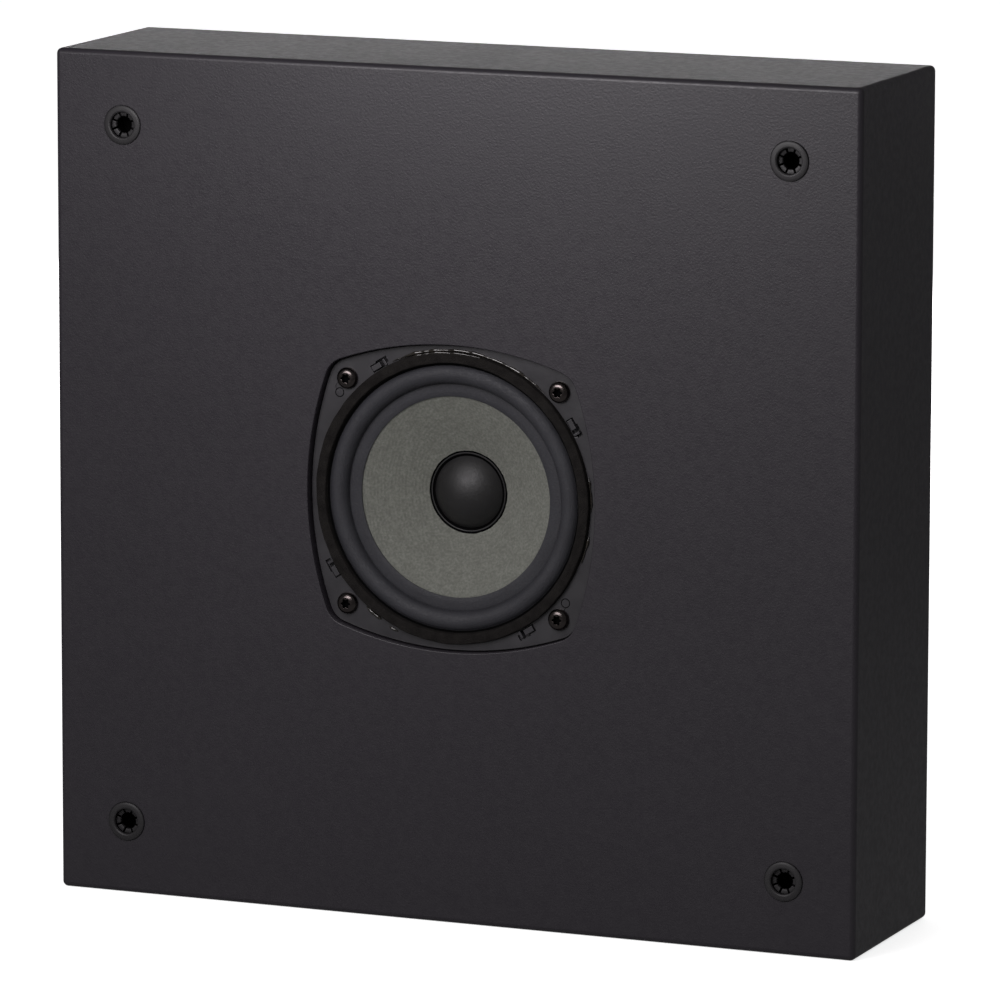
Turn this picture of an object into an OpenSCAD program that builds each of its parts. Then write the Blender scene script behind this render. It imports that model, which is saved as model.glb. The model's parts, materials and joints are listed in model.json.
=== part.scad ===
// On-wall speaker with its grille off: a shallow square cabinet with one full-range driver.
// The origin is the centre of the face against the wall. +Z is up and the front faces -Y.

/* [Cabinet] */
// Width of the cabinet
cab_w = 305; // [280:1:380]
// Height of the cabinet
cab_h = 305; // [290:1:380]
// Depth of the cabinet, from the wall to the front
cab_d = 76; // [74:1:110]
// Thickness of the top, bottom and side panels
wall_t = 12; // [10:0.5:16]
// Thickness of the front baffle
baffle_t = 15; // [12:0.5:18]
// Thickness of the back panel
back_t = 12; // [11:0.5:14]
// Width of the rebate that the back panel sits in
rebate_w = 6; // [4:0.5:8]
// Radius of the cabinet's outer edges
edge_r = 2; // [1:0.25:4]

/* [Grille sockets] */
// Distance from the cabinet's edges to a socket's centre
socket_inset = 26.3; // [22:0.1:34]
// Radius of a socket's flange
socket_flange_r = 7; // [6.5:0.1:8]
// Radius of a socket's barrel
socket_barrel_r = 5.45; // [5.2:0.05:5.8]
// Radius of a socket's mouth
socket_mouth_r = 4.5; // [4.2:0.1:4.8]
// Radius of the opening between the petals
petal_r = 3; // [2.6:0.1:3.4]
// Width of the slots between the petals
petal_slot = 0.5; // [0.3:0.05:0.8]
// Number of petals in a socket
petal_count = 8; // [6:1:10]
// Depth of a socket's barrel
socket_depth = 11.5; // [9:0.5:12]

/* [Driver recess] */
// Half width of the routed recess at the middle of a side
recess_half = 54.75; // [54.4:0.05:58]
// Distance of the recess's corner points from each centre line
recess_corner = 46; // [45:0.1:47]
// Radius of the recess's corners
recess_corner_r = 9; // [7:0.5:12]
// Gap between the flange and the wall of the recess
recess_gap = 0.6; // [0.3:0.05:1]
// Depth of the flange's front below the cabinet's front
flange_sunk = 3; // [2:0.1:4]
// Thickness of the flange
flange_t = 2; // [1.6:0.1:3]
// Thickness of the sealing gasket under the flange
seal_t = 0.5; // [0.3:0.1:1]
// Clearance of the basket in the round cut-out
cutout_gap = 0.7; // [0.3:0.1:0.9]

/* [Driver screws] */
// Distance of the driver screws from each centre line
screw_pos = 40.35; // [40.2:0.05:41]
// Radius of a driver screw's head
screw_head_r = 3.9; // [3.4:0.1:3.9]
// Height of a driver screw's head
screw_head_h = 2.4; // [2:0.1:2.8]
// Radius of a driver screw's shank
screw_r = 1.75; // [1.5:0.05:1.9]
// Length of a driver screw's shank
screw_len = 11; // [9:0.5:14]

/* [Basket] */
// Outer radius of the basket's rim
basket_r = 49.8; // [49.4:0.1:50]
// Inner radius of the basket's rim
basket_in_r = 47.6; // [47.4:0.1:48]
// Depth of the basket's rim below the flange's front
rim_h = 9.8; // [8:0.1:11]
// Wall of the basket
basket_wall = 2; // [1.6:0.1:2.4]
// Number of spokes
spoke_count = 4; // [4:1:6]
// Share of the round that the windows take
window_share = 0.7; // [0.5:0.05:0.8]
// Thickness of the rib on each spoke
rib_t = 3; // [2:0.25:5]
// Outer radius of the ledge for the spider
ledge_r = 33; // [32.6:0.1:34]
// Width of the ledge for the spider
ledge_w = 4.5; // [3.5:0.1:5]
// Depth of the spider's ledge below the flange's front
ledge_depth = 22.5; // [21:0.1:24]
// Depth of the basket's end below the flange's front
basket_h = 33; // [31:0.1:36]
// Length of a hook pocket in the flange
pocket_l = 4.6; // [3:0.1:5.5]
// Width of a hook pocket in the flange
pocket_w = 2.2; // [1.5:0.1:2.4]
// Radius of the circle that the hook pockets lie on
pocket_circle_r = 54.4; // [54.3:0.1:55]

/* [Front gasket and surround] */
// Outer radius of the foam ring on the flange
ring_r = 52.9; // [52.4:0.1:53]
// Inner radius of the foam ring
ring_in_r = 48; // [47.8:0.1:49]
// Thickness of the foam ring
ring_t = 2.1; // [1.5:0.1:2.6]
// Thickness of the surround's rubber
rubber_t = 0.5; // [0.4:0.05:0.7]
// Radius of the circle through the middle of the surround's roll
roll_circle_r = 44.1; // [43.9:0.1:44.2]
// Radius of the roll's section, to the middle of the rubber
roll_r = 3.2; // [2.9:0.05:3.3]
// Outer radius of the surround's rim
rim_out_r = 51.4; // [50:0.1:51.6]
// Inner radius of the surround's land on the cone
land_in_r = 35.9; // [34:0.1:37]

/* [Cone and coil] */
// Depth of the cone's lip below the flange's front
lip_depth = 2.5; // [2:0.1:3]
// Radius of the cone's lip
lip_r = 40.5; // [40:0.1:40.6]
// Radius at which the lip meets the cone
lip_in_r = 36.2; // [35:0.1:37]
// Depth from the lip to the neck
cone_depth = 12.6; // [10:0.1:14]
// Thickness of the cone
cone_t = 0.6; // [0.4:0.05:0.8]
// Length of the cone's neck along the former
neck_len = 2.4; // [1.5:0.1:3.5]
// Radius of the dust cap's collar
cap_collar_r = 14.35; // [14:0.05:16]
// Radius of the dust cap's dome
cap_r = 13.3; // [12.6:0.05:13.6]
// Height of the dust cap's dome
cap_h = 6.5; // [4:0.1:8]
// Inner radius of the voice coil former
former_in_r = 12.7; // [12.6:0.05:12.8]
// Thickness of the former
former_t = 0.2; // [0.1:0.05:0.25]
// Thickness of the coil's winding
coil_t = 0.6; // [0.4:0.05:0.7]
// Length of the coil's winding
coil_len = 10; // [8:0.5:11]
// Number of waves in the spider
spider_waves = 4; // [3:1:6]
// Thickness of the spider's cloth
spider_t = 0.5; // [0.3:0.05:0.7]

/* [Magnet] */
// Clearance on each side of the coil and the former in the gap
coil_gap = 0.4; // [0.3:0.05:0.6]
// Thickness of the top plate
plate_t = 4; // [3:0.5:5]
// Outer radius of the top plate and the yoke
plate_r = 33; // [32:0.5:34.5]
// Outer radius of the magnet
magnet_r = 35; // [34.5:0.5:38]
// Inner radius of the magnet
magnet_in_r = 17; // [15.5:0.5:20]
// Thickness of the magnet
magnet_t = 11; // [10:0.5:12]
// Thickness of the yoke's plate
yoke_t = 4; // [3:0.5:5]

/* [Tag board] */
// Width of the tag board
board_w = 24; // [20:0.5:28]
// Length of the tag board along the radius
board_l = 8.7; // [7:0.1:8.8]
// Thickness of the tag board
board_t = 1.6; // [1:0.1:2]
// Thickness of the lug under the tag board
lug_t = 2; // [1.5:0.1:2.5]
// Distance of each tag from the middle of the board
tag_x = 6; // [5:0.1:7]
// Width of the positive tag
tag_w_plus = 4.8; // [3:0.1:6]
// Width of the negative tag
tag_w_minus = 2.8; // [2:0.1:6]
// Thickness of the tags
tag_t = 0.8; // [0.5:0.05:1]
// Length of the tags
tag_l = 14.5; // [12:0.5:16]
// Radius of a flexible lead
lead_r = 0.5; // [0.4:0.05:0.6]

/* [Terminal cup] */
// Distance from the cabinet's underside to the cup's centre
cup_up = 67.5; // [57.5:0.5:72.5]
// Width of the cup's opening
cup_w = 62; // [56:1:70]
// Height of the cup's opening
cup_h = 38; // [34:1:42]
// Depth inside the cup
cup_depth = 22; // [21.8:0.1:26]
// Wall of the cup
cup_wall = 2; // [1.6:0.1:2.5]
// Corner radius inside the cup
cup_corner_r = 5; // [3:0.5:8]
// Width of the cup's flange round its wall
cup_flange_w = 7; // [6:0.5:9]
// Thickness of the cup's flange
cup_flange_t = 2.5; // [2:0.1:3]
// Thickness of the cup's gasket
cup_seal_t = 0.8; // [0.5:0.1:1]
// Clearance of the cup in the back panel
cup_gap = 0.5; // [0.2:0.1:1]

/* [Spring terminals] */
// Distance of each terminal from the cup's middle
post_x = 9.5; // [9:0.1:12]
// Radius of a terminal's shaft
post_r = 3; // [2.8:0.05:3.2]
// Height of a terminal's shaft above the cup's floor, up to its head
post_h = 17; // [16.8:0.1:17.5]
// Radius of a terminal's collar
post_collar_r = 6.5; // [5.5:0.1:7.5]
// Height of a terminal's collar
post_collar_h = 2.5; // [2:0.1:3]
// Radius of a terminal's head
post_head_r = 4.2; // [3.8:0.1:4.3]
// Thickness of a terminal's head
post_head_t = 1.2; // [0.8:0.1:1.5]
// Radius of the hole for the loudspeaker wire
wire_hole_r = 1.1; // [0.8:0.05:1.3]
// Radius of the terminal's threaded end
post_thread_r = 2; // [1.8:0.05:2.2]
// Length of the threaded end below the cup
post_thread_l = 7; // [5:0.5:8]
// Radius of a knob
knob_r = 6.5; // [6:0.1:7.5]
// Length of a knob
knob_l = 12.5; // [12:0.1:13]
// Running clearance of a knob on its shaft
knob_fit = 0.05; // [0.02:0.01:0.08]
// Depth of a knob's recess for the head
knob_recess = 3; // [2:0.1:3.4]
// Radius of a knob's recess for the head
knob_recess_r = 4.6; // [4.5:0.1:4.9]
// Depth of a knob's bore for the spring
knob_bore = 3.5; // [2.5:0.1:3.8]
// Radius of a knob's bore for the spring
knob_bore_r = 4.9; // [4.7:0.1:5.2]
// Travel of a knob when it is pressed
knob_travel = 3; // [2.5:0.1:3.2]
// Number of grip grooves on a knob
knob_grooves = 12; // [6:1:16]
// Radius of a spring's wire
spring_wire_r = 0.35; // [0.25:0.05:0.4]
// Turns of a spring
spring_turns = 4; // [3:0.5:5]

/* [Hangers] */
// Distance from the cabinet's sides to a hanger's middle
hanger_in = 50.9; // [42.5:0.1:62.5]
// Distance from the cabinet's top to a hanger's middle
hanger_down = 48.5; // [44.5:0.5:57.5]
// Width of a hanger plate
hanger_w = 24; // [22:1:30]
// Height of a hanger plate
hanger_h = 52; // [48:1:56]
// Thickness of a hanger plate
hanger_t = 1.6; // [1.2:0.1:2]
// Radius of the keyhole's round end
keyhole_r = 5.2; // [4.8:0.1:6]
// Width of the keyhole's slot
keyhole_slot = 4.8; // [4.4:0.1:5.5]
// Length of the keyhole, between the centres of its ends
keyhole_l = 12; // [9:0.5:14]
// Depth of the pocket behind a hanger plate
hanger_pocket = 7; // [6:0.5:8]
// Room round the keyhole in the pocket behind it
pocket_room = 1.5; // [1:0.1:3]

/* [Small screws] */
// Radius of a small screw's head
small_head_r = 2.9; // [2.5:0.1:3.2]
// Radius of a small screw's shank
small_r = 1.4; // [1.2:0.05:1.6]
// Length of a small screw
small_len = 9; // [8:0.5:10]

/* [Wires and filling] */
// Radius of the inner wires, with their insulation
wire_r = 1.1; // [0.8:0.1:1.3]
// Thickness of the damping wadding
wadding_t = 26; // [15:1:28]

/* [Hidden] */
$fn = 96;
over = 1;              // how far a cutter reaches past what it cuts
fit = 0.05;            // clearance of a press fit and of a screw in its pilot hole
joint_gap = 0.2;       // gap round a piece let into the back
sink = 0.1;            // how far what is let into the back lies below it

recess_d = flange_sunk + flange_t + seal_t;
cutout_r = basket_r + cutout_gap;
arc_d = (2 * pow(recess_corner, 2) - pow(recess_half, 2)) / (2 * (recess_half - recess_corner));
arc_r = recess_half + arc_d;
corner_m = (sqrt(2 * pow(arc_r - recess_corner_r, 2) - pow(arc_d, 2)) - arc_d) / 2;

flange_z = -flange_sunk;
lip_z = flange_z - lip_depth;
ledge_z = flange_z - ledge_depth;
basket_z = flange_z - basket_h;
roll_z = lip_z + rubber_t / 2 + 0.65;
neck_r = former_in_r + former_t + fit;
neck_z = lip_z - cone_depth;
cone_slope = cone_depth / (lip_in_r - neck_r);
coil_r = former_in_r + former_t + coil_t;
coil_z = basket_z - plate_t / 2 - coil_len / 2;
spider_z = ledge_z + spider_t / 2;
pole_r = former_in_r - coil_gap;
gap_r = coil_r + coil_gap;
magnet_z = basket_z - plate_t - magnet_t;
yoke_z = magnet_z - yoke_t;

board_out = 46.5;      // radius of the tag board's outer edge, inside the cut-out
board_z = ledge_z - 0.5;
tag_y = -board_out + 4;
tag_z = board_z + board_t + 1 - tag_l;
connector_l = 7;
connector_wall = 0.8;

cup_z = cup_up - cab_h / 2;
hanger_x = cab_w / 2 - hanger_in;
hanger_z = cab_h / 2 - hanger_down;
cup_floor = -sink - cup_depth;
cup_out_w = cup_w + 2 * cup_wall;
cup_out_h = cup_h + 2 * cup_wall;
cup_flange_wd = cup_out_w + 2 * cup_flange_w;
cup_flange_ht = cup_out_h + 2 * cup_flange_w;
cup_rebate = sink + cup_flange_t + cup_seal_t;
cup_screw_x = cup_out_w / 2 + cup_flange_w / 2;
cup_screw_z = cup_out_h / 2 + cup_flange_w / 2;
knob_z = cup_floor + post_h + knob_recess - knob_l;
shaft_hole_z = cup_floor + post_h - 4.6;
lug_l = 17;
lug_w = 8;
lug_sheet = 0.8;
nut_t = 3.2;
nut_r = 4.04;
hanger_screw_z = hanger_h / 2 - 5.5;
wire_room = 31;         // height left free above the cup for the wires
wadding_low = cup_z + cup_flange_ht / 2 + wire_room;

// Frame of someone who looks at the front: x right, y up, z out of the cabinet, 0 at its front
module from_front() {
    translate([0, -cab_d, 0]) rotate([90, 0, 0]) children();
}

// Frame of someone who looks at the back: x right, y up, z towards the wall, 0 at the wall
module from_back() {
    rotate([90, 0, 180]) children();
}

// Moves to a height in one of those frames
module at(z) {
    translate([0, 0, z]) children();
}

// Copies to the four corners of a square
module four(x, y) {
    for (sx = [-1, 1], sy = [-1, 1]) translate([sx * x, sy * y]) children();
}

// Rectangle with round corners
module rounded(w, h, r) {
    difference() {
        square([w, h], center = true);
        for (sx = [-1, 1], sy = [-1, 1])
            translate([sx * (w / 2 - r), sy * (h / 2 - r)]) difference() {
                translate([sx * r, sy * r]) square(2 * r, center = true);
                circle(r);
            }
    }
}

// Square with bulging sides and round corners: the outline of the recess and of the flange
module bulged_square(grow) {
    reach = arc_r - recess_corner_r;
    u = [corner_m + arc_d, corner_m] / reach;
    v = [u.y, u.x];
    far = 3 * recess_corner_r;
    difference() {
        intersection() {
            translate([-arc_d, 0]) circle(arc_r + grow);
            translate([arc_d, 0]) circle(arc_r + grow);
            translate([0, -arc_d]) circle(arc_r + grow);
            translate([0, arc_d]) circle(arc_r + grow);
        }
        for (a = [0 : 90 : 270]) rotate(a) translate([corner_m, corner_m]) difference() {
            polygon([[0, 0], u * far, (u + v) * far, v * far]);
            circle(recess_corner_r + grow);
        }
    }
}

// Sector of a circle round the direction a, for cutting windows
module sector(a, span, r) {
    steps = 4;
    rotate(a) polygon(concat([[0, 0]],
        [for (i = [0 : steps]) let (t = span * (i / steps - 0.5)) r * [cos(t), sin(t)]]));
}

// Ring from one radius to another
module ring(r_in, r_out, h) {
    difference() {
        cylinder(r = r_out, h = h);
        translate([0, 0, -over]) cylinder(r = r_in, h = h + 2 * over);
    }
}

// Points on a smooth curve through the given ones
function curve_at(p, i, t) =
    let (a = p[max(i - 1, 0)], b = p[i], c = p[i + 1], d = p[min(i + 2, len(p) - 1)])
    0.5 * (2 * b + (c - a) * t + (2 * a - 5 * b + 4 * c - d) * t * t
        + (3 * b - a - 3 * c + d) * t * t * t);
function smooth(p, steps) = concat(
    [for (i = [0 : len(p) - 2], s = [0 : steps - 1]) curve_at(p, i, s / steps)],
    [p[len(p) - 1]]);
function unit(v) = v / norm(v);

// Tube along points
module tube(points, r, sides = 8) {
    last = len(points) - 1;
    dirs = [for (i = [0 : last]) unit(points[min(i + 1, last)] - points[max(i - 1, 0)])];
    side = [for (d = dirs) unit(cross(d, abs(d.z) < 0.8 ? [0, 0, 1] : [0, 1, 0]))];
    ring_points = [for (i = [0 : last], k = [0 : sides - 1])
        let (a = 360 * k / sides) points[i] + r * (cos(a) * side[i] + sin(a) * cross(dirs[i], side[i]))];
    walls = [for (i = [0 : last - 1], k = [0 : sides - 1])
        let (n = (k + 1) % sides, a = i * sides, b = (i + 1) * sides)
        each [[a + k, b + k, b + n], [a + k, b + n, a + n]]];
    first_cap = [[for (k = [0 : sides - 1]) k]];
    last_cap = [[for (k = [sides - 1 : -1 : 0]) last * sides + k]];
    polyhedron(ring_points, concat(walls, first_cap, last_cap), convexity = 6);
}

// Outer form of the whole cabinet, with its edges rounded
module envelope() {
    intersection() {
        rotate([90, 0, 0]) linear_extrude(cab_d) rounded(cab_w, cab_h, edge_r);
        translate([0, -cab_d / 2, -cab_h / 2]) linear_extrude(cab_h) rounded(cab_w, cab_d, edge_r);
        translate([-cab_w / 2, -cab_d / 2, 0]) rotate([90, 0, 90])
            linear_extrude(cab_w) rounded(cab_d, cab_h, edge_r);
    }
}

// Rebate that the back panel sits in
module back_rebate() {
    w = cab_w - 2 * wall_t + 2 * rebate_w;
    h = cab_h - 2 * wall_t + 2 * rebate_w;
    translate([-w / 2, -back_t, -h / 2]) cube([w, back_t + over, h]);
}

module front_baffle() {
    color("#2a2a2d") difference() {
        intersection() {
            envelope();
            translate([-cab_w / 2, -cab_d, -cab_h / 2]) cube([cab_w, baffle_t, cab_h]);
        }
        from_front() {
            at(-recess_d) linear_extrude(recess_d + over) bulged_square(0);
            at(-baffle_t - over) cylinder(r = cutout_r, h = baffle_t);
            four(screw_pos, screw_pos)
                at(flange_z - screw_len - 0.5) cylinder(r = screw_r + fit, h = screw_len);
            four(cab_w / 2 - socket_inset, cab_h / 2 - socket_inset)
                at(-baffle_t - over) cylinder(r = socket_barrel_r + fit, h = baffle_t + 2 * over);
        }
    }
}

// Panel above or below: the sign says which
module flat_panel(s) {
    color("#2a2a2d") difference() {
        intersection() {
            envelope();
            translate([-cab_w / 2, -cab_d + baffle_t, s > 0 ? cab_h / 2 - wall_t : -cab_h / 2])
                cube([cab_w, cab_d - baffle_t, wall_t]);
        }
        back_rebate();
    }
}

// Panel at the side: the sign says which
module upright_panel(s) {
    h = cab_h - 2 * wall_t;
    color("#2a2a2d") difference() {
        intersection() {
            envelope();
            translate([s > 0 ? cab_w / 2 - wall_t : -cab_w / 2, -cab_d + baffle_t, -h / 2])
                cube([wall_t, cab_d - baffle_t, h]);
        }
        back_rebate();
    }
}

module back_panel() {
    w = cab_w - 2 * wall_t + 2 * rebate_w - 2 * joint_gap;
    h = cab_h - 2 * wall_t + 2 * rebate_w - 2 * joint_gap;
    color("#232325") difference() {
        translate([-w / 2, -back_t, -h / 2]) cube([w, back_t, h]);
        from_back() {
            translate([0, cup_z, -cup_rebate]) linear_extrude(cup_rebate + over)
                rounded(cup_flange_wd + 2 * joint_gap, cup_flange_ht + 2 * joint_gap,
                    cup_corner_r + joint_gap);
            translate([0, cup_z, -back_t - over]) linear_extrude(back_t)
                rounded(cup_out_w + 2 * cup_gap, cup_out_h + 2 * cup_gap, cup_corner_r + cup_gap);
            translate([0, cup_z]) four(cup_screw_x, cup_screw_z)
                at(-sink - small_len) cylinder(r = small_r + fit, h = small_len);
            for (s = [-1, 1]) translate([s * hanger_x, hanger_z]) {
                at(-sink - hanger_t) linear_extrude(hanger_t + sink + over)
                    rounded(hanger_w + 2 * joint_gap, hanger_h + 2 * joint_gap, 3 + joint_gap);
                at(-sink - hanger_t - hanger_pocket) linear_extrude(hanger_pocket + over)
                    square([2 * keyhole_r, keyhole_l + 2 * keyhole_r]
                        + 2 * pocket_room * [1, 1], center = true);
                for (t = [-1, 1]) translate([0, t * hanger_screw_z, -sink - small_len])
                    cylinder(r = small_r + fit, h = small_len);
            }
        }
    }
}

// Socket for one of the grille's pegs, at the corner given by two signs
module grille_socket(sx, sy) {
    floor_t = 1;
    petal_top = -1.2;
    petal_t = 1.3;
    h = 0.95;
    edge_h = 0.35;
    top_r = socket_mouth_r + 0.7;
    drop = h - edge_h;
    below = (pow(socket_flange_r, 2) - pow(top_r, 2) - pow(drop, 2)) / (2 * drop);
    color("#232326") from_front()
        translate([sx * (cab_w / 2 - socket_inset), sy * (cab_h / 2 - socket_inset)]) {
            difference() {
                union() {
                    intersection() {
                        cylinder(r = socket_flange_r, h = h);
                        at(h - below - drop) sphere(r = norm([top_r, below + drop]));
                    }
                    at(-socket_depth) cylinder(r = socket_barrel_r, h = socket_depth + h / 2);
                }
                at(floor_t - socket_depth)
                    cylinder(r = socket_mouth_r, h = socket_depth + over);
                at(h - 0.5) cylinder(r1 = socket_mouth_r, r2 = top_r, h = 0.7);
            }
            at(petal_top - petal_t) difference() {
                ring(petal_r, socket_mouth_r, petal_t);
                for (a = [0 : 360 / petal_count : 359]) rotate(a)
                    translate([0, -petal_slot / 2, -over])
                        cube([socket_mouth_r + over, petal_slot, petal_t + 2 * over]);
            }
        }
}

module seal_gasket() {
    color("#1c1a19") from_front() at(-recess_d) difference() {
        linear_extrude(seal_t) bulged_square(-recess_gap - 0.5);
        at(-over) cylinder(r = cutout_r, h = seal_t + 2 * over);
        four(screw_pos, screw_pos) at(-over) cylinder(r = screw_r + 0.5, h = seal_t + 2 * over);
    }
}

// Section of the basket behind its flange, as radius and height
module basket_section() {
    d = basket_wall * 0.95;
    knee = flange_z - rim_h;
    polygon([[basket_in_r, flange_z - flange_t], [basket_r, flange_z - flange_t],
        [basket_r, knee - 0.8], [ledge_r + 3, ledge_z - 0.7], [ledge_r, ledge_z - 2],
        [ledge_r, basket_z], [magnet_in_r + 0.5, basket_z], [magnet_in_r + 0.5, basket_z + 2],
        [ledge_r - d - 0.5, basket_z + 2], [ledge_r - d - 0.5, ledge_z - 2],
        [ledge_r - ledge_w, ledge_z - 2], [ledge_r - ledge_w, ledge_z],
        [ledge_r + 1, ledge_z], [basket_in_r, knee]]);
}

// Rib along the outside of a spoke, as radius and height
module rib_section() {
    polygon([[ledge_r - 0.5, basket_z + 1], [ledge_r + 3.5, basket_z + 1],
        [basket_r, ledge_z + 5], [basket_r, flange_z - flange_t], [basket_r - 1, flange_z - flange_t],
        [basket_r - 1, flange_z - rim_h - 0.5], [ledge_r + 2, ledge_z - 0.2],
        [ledge_r - 0.5, ledge_z - 1.5]]);
}

// Flange, bowl with its windows, ledge for the spider and seat for the top plate, in one moulding
module basket() {
    turn = 360 / spoke_count;
    span = turn * window_share;
    color("#1b1b1e") from_front() difference() {
        union() {
            at(flange_z - flange_t) linear_extrude(flange_t) bulged_square(-recess_gap);
            difference() {
                union() {
                    rotate_extrude() basket_section();
                    for (i = [0 : spoke_count - 1]) rotate([0, 0, turn * (i + 0.5)])
                        rotate([90, 0, 0]) translate([0, 0, -rib_t / 2])
                            linear_extrude(rib_t) rib_section();
                }
                for (i = [0 : spoke_count - 1]) {
                    at(ledge_z + 0.6) linear_extrude(ledge_depth - rim_h - 1.4)
                        sector(turn * i, span, basket_r + over);
                    at(basket_z + 2.8) linear_extrude(basket_h - ledge_depth - 5.6)
                        sector(turn * i, span, basket_r);
                }
            }
            translate([-board_w / 2, -board_out, board_z - lug_t])
                cube([board_w, board_out - ledge_r + 1, lug_t]);
        }
        at(flange_z - flange_t - over) cylinder(r = basket_in_r, h = flange_t + 2 * over);
        at(flange_z - rubber_t) cylinder(r = rim_out_r + 0.2, h = rubber_t + over);
        four(screw_pos, screw_pos) at(flange_z - flange_t - over)
            cylinder(r = screw_r + 0.35, h = flange_t + 2 * over);
        for (a = [30 : 90 : 300]) rotate([0, 0, a])
            translate([pocket_circle_r - pocket_w / 2, -pocket_l / 2, flange_z - 1.2])
                cube([pocket_w, pocket_l, 1.2 + over]);
        for (p = [[-43.5, 37], [43.5, -37.6], [-44, -29]]) translate([p.x, p.y, flange_z - 0.3])
            cylinder(r = 1.6, h = 0.3 + over);
        for (s = [-1, 1]) tag_slot(s);
    }
}

// Slot for one tag, through the lug and the board
module tag_slot(s) {
    w = (s > 0 ? tag_w_plus : tag_w_minus) + 2 * fit;
    translate([s * tag_x - w / 2, tag_y - tag_t / 2 - fit, board_z - lug_t - over])
        cube([w, tag_t + 2 * fit, lug_t + board_t + 2 * over]);
}

module tag_board() {
    color("#6b4a2b") from_front() difference() {
        translate([-board_w / 2, -board_out, board_z]) cube([board_w, board_l, board_t]);
        for (s = [-1, 1]) tag_slot(s);
    }
}

module driver_tags() {
    color("#c9c3b0") from_front() for (s = [-1, 1]) {
        w = s > 0 ? tag_w_plus : tag_w_minus;
        translate([s * tag_x - w / 2, tag_y - tag_t / 2, tag_z]) cube([w, tag_t, tag_l]);
    }
}

module front_gasket() {
    color("#2b2725") from_front() at(flange_z) ring(ring_in_r, ring_r, ring_t);
}

module surround() {
    rim_in_r = roll_circle_r + roll_r - rubber_t;
    land_out_r = roll_circle_r - roll_r + rubber_t / 2;
    color("#202124") from_front() rotate_extrude() {
        intersection() {
            translate([roll_circle_r, roll_z]) difference() {
                circle(roll_r + rubber_t / 2);
                circle(roll_r - rubber_t / 2);
            }
            union() {
                translate([lip_r - 1, lip_z]) square([roll_circle_r - lip_r + 1, 3 * roll_r]);
                translate([roll_circle_r, flange_z - rubber_t]) square([2 * roll_r, 3 * roll_r]);
            }
        }
        translate([land_in_r, lip_z]) square([land_out_r - land_in_r, rubber_t]);
        translate([land_out_r - rubber_t, lip_z]) square([rubber_t, roll_z - lip_z]);
        translate([rim_in_r, flange_z - rubber_t]) square([rim_out_r - rim_in_r, rubber_t]);
    }
}

module cone() {
    color("#5c5d50") from_front() rotate_extrude() polygon([
        [neck_r, neck_z], [lip_in_r, lip_z], [lip_r, lip_z], [lip_r, lip_z - cone_t],
        [lip_in_r + 0.3, lip_z - cone_t], [neck_r + cone_t, neck_z - 1.1 * cone_t],
        [neck_r + cone_t, neck_z - neck_len], [neck_r, neck_z - neck_len]]);
}

module dust_cap() {
    shell = 0.5;
    glue_t = 0.02;
    seat_z = neck_z + glue_t;
    base_z = seat_z + cone_slope * (cap_r - neck_r) + shell;
    big_r = (pow(cap_r, 2) + pow(cap_h, 2)) / (2 * cap_h);
    collar_z = seat_z + cone_slope * (cap_collar_r - neck_r);
    color("#1c1c1e") from_front() rotate_extrude() {
        intersection() {
            translate([0, base_z + cap_h - big_r]) difference() {
                circle(big_r);
                circle(big_r - shell);
            }
            translate([0, base_z]) square([cap_r + over, cap_h + over]);
        }
        polygon([[cap_r - shell, base_z - shell * cone_slope], [cap_r, base_z - shell],
            [cap_collar_r, collar_z], [cap_collar_r, collar_z + shell], [cap_r, base_z + 0.2],
            [cap_r - shell, base_z + 0.2]]);
    }
}

module coil_former() {
    color("#b9bbbd") from_front() at(coil_z)
        ring(former_in_r, former_in_r + former_t, neck_z - coil_z);
}

module voice_coil() {
    color("#b06a35") from_front() at(coil_z) ring(former_in_r + former_t, coil_r, coil_len);
}

// Cloth disc with round waves, from the former out to its ledge
module spider() {
    wave_in = neck_r + 2;
    wave_out = ledge_r - ledge_w - 0.5;
    pitch = (wave_out - wave_in) / (2 * spider_waves);
    color("#b79a4a") from_front() rotate_extrude() {
        translate([neck_r, spider_z - spider_t / 2]) square([wave_in - neck_r, spider_t]);
        for (i = [0 : 2 * spider_waves - 1]) {
            up = i % 2 == 0;
            translate([wave_in + pitch * (i + 0.5), spider_z]) intersection() {
                difference() {
                    circle(pitch / 2 + spider_t / 2);
                    circle(pitch / 2 - spider_t / 2);
                }
                translate([-pitch, up ? 0 : -2 * pitch]) square(2 * pitch);
            }
        }
        translate([wave_out - spider_t / 2, spider_z - spider_t / 2])
            square([ledge_r - 0.3 - wave_out + spider_t / 2, spider_t]);
    }
}

module top_plate() {
    color("#9a9c9e") from_front() at(basket_z - plate_t) ring(gap_r, plate_r, plate_t);
}

module magnet() {
    color("#3a3a3c") from_front() at(magnet_z) ring(magnet_in_r, magnet_r, magnet_t);
}

module yoke() {
    color("#9a9c9e") from_front() {
        at(yoke_z) cylinder(r = plate_r, h = yoke_t);
        at(magnet_z - over) cylinder(r = pole_r, h = magnet_t + plate_t + over);
    }
}

// Flexible leads from the back of the cone to the tags
module flexible_leads() {
    start_r = 19;
    start_z = neck_z + cone_slope * (start_r - neck_r) - 1.4 * cone_t - lead_r - 0.3;
    color("#b87a4a") from_front() for (s = [-1, 1])
        tube(smooth([[s * 5, -start_r, start_z], [s * 5.3, -start_r - 4, start_z - 2.2],
            [s * 5.7, -27, start_z - 1.2], [s * 5.9, -33, start_z + 0.4],
            [s * 6, -38.5, board_z + board_t + 3.5], [s * tag_x, tag_y + tag_t / 2 + lead_r,
            board_z + board_t + 0.6]], 4), lead_r);
}

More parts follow.
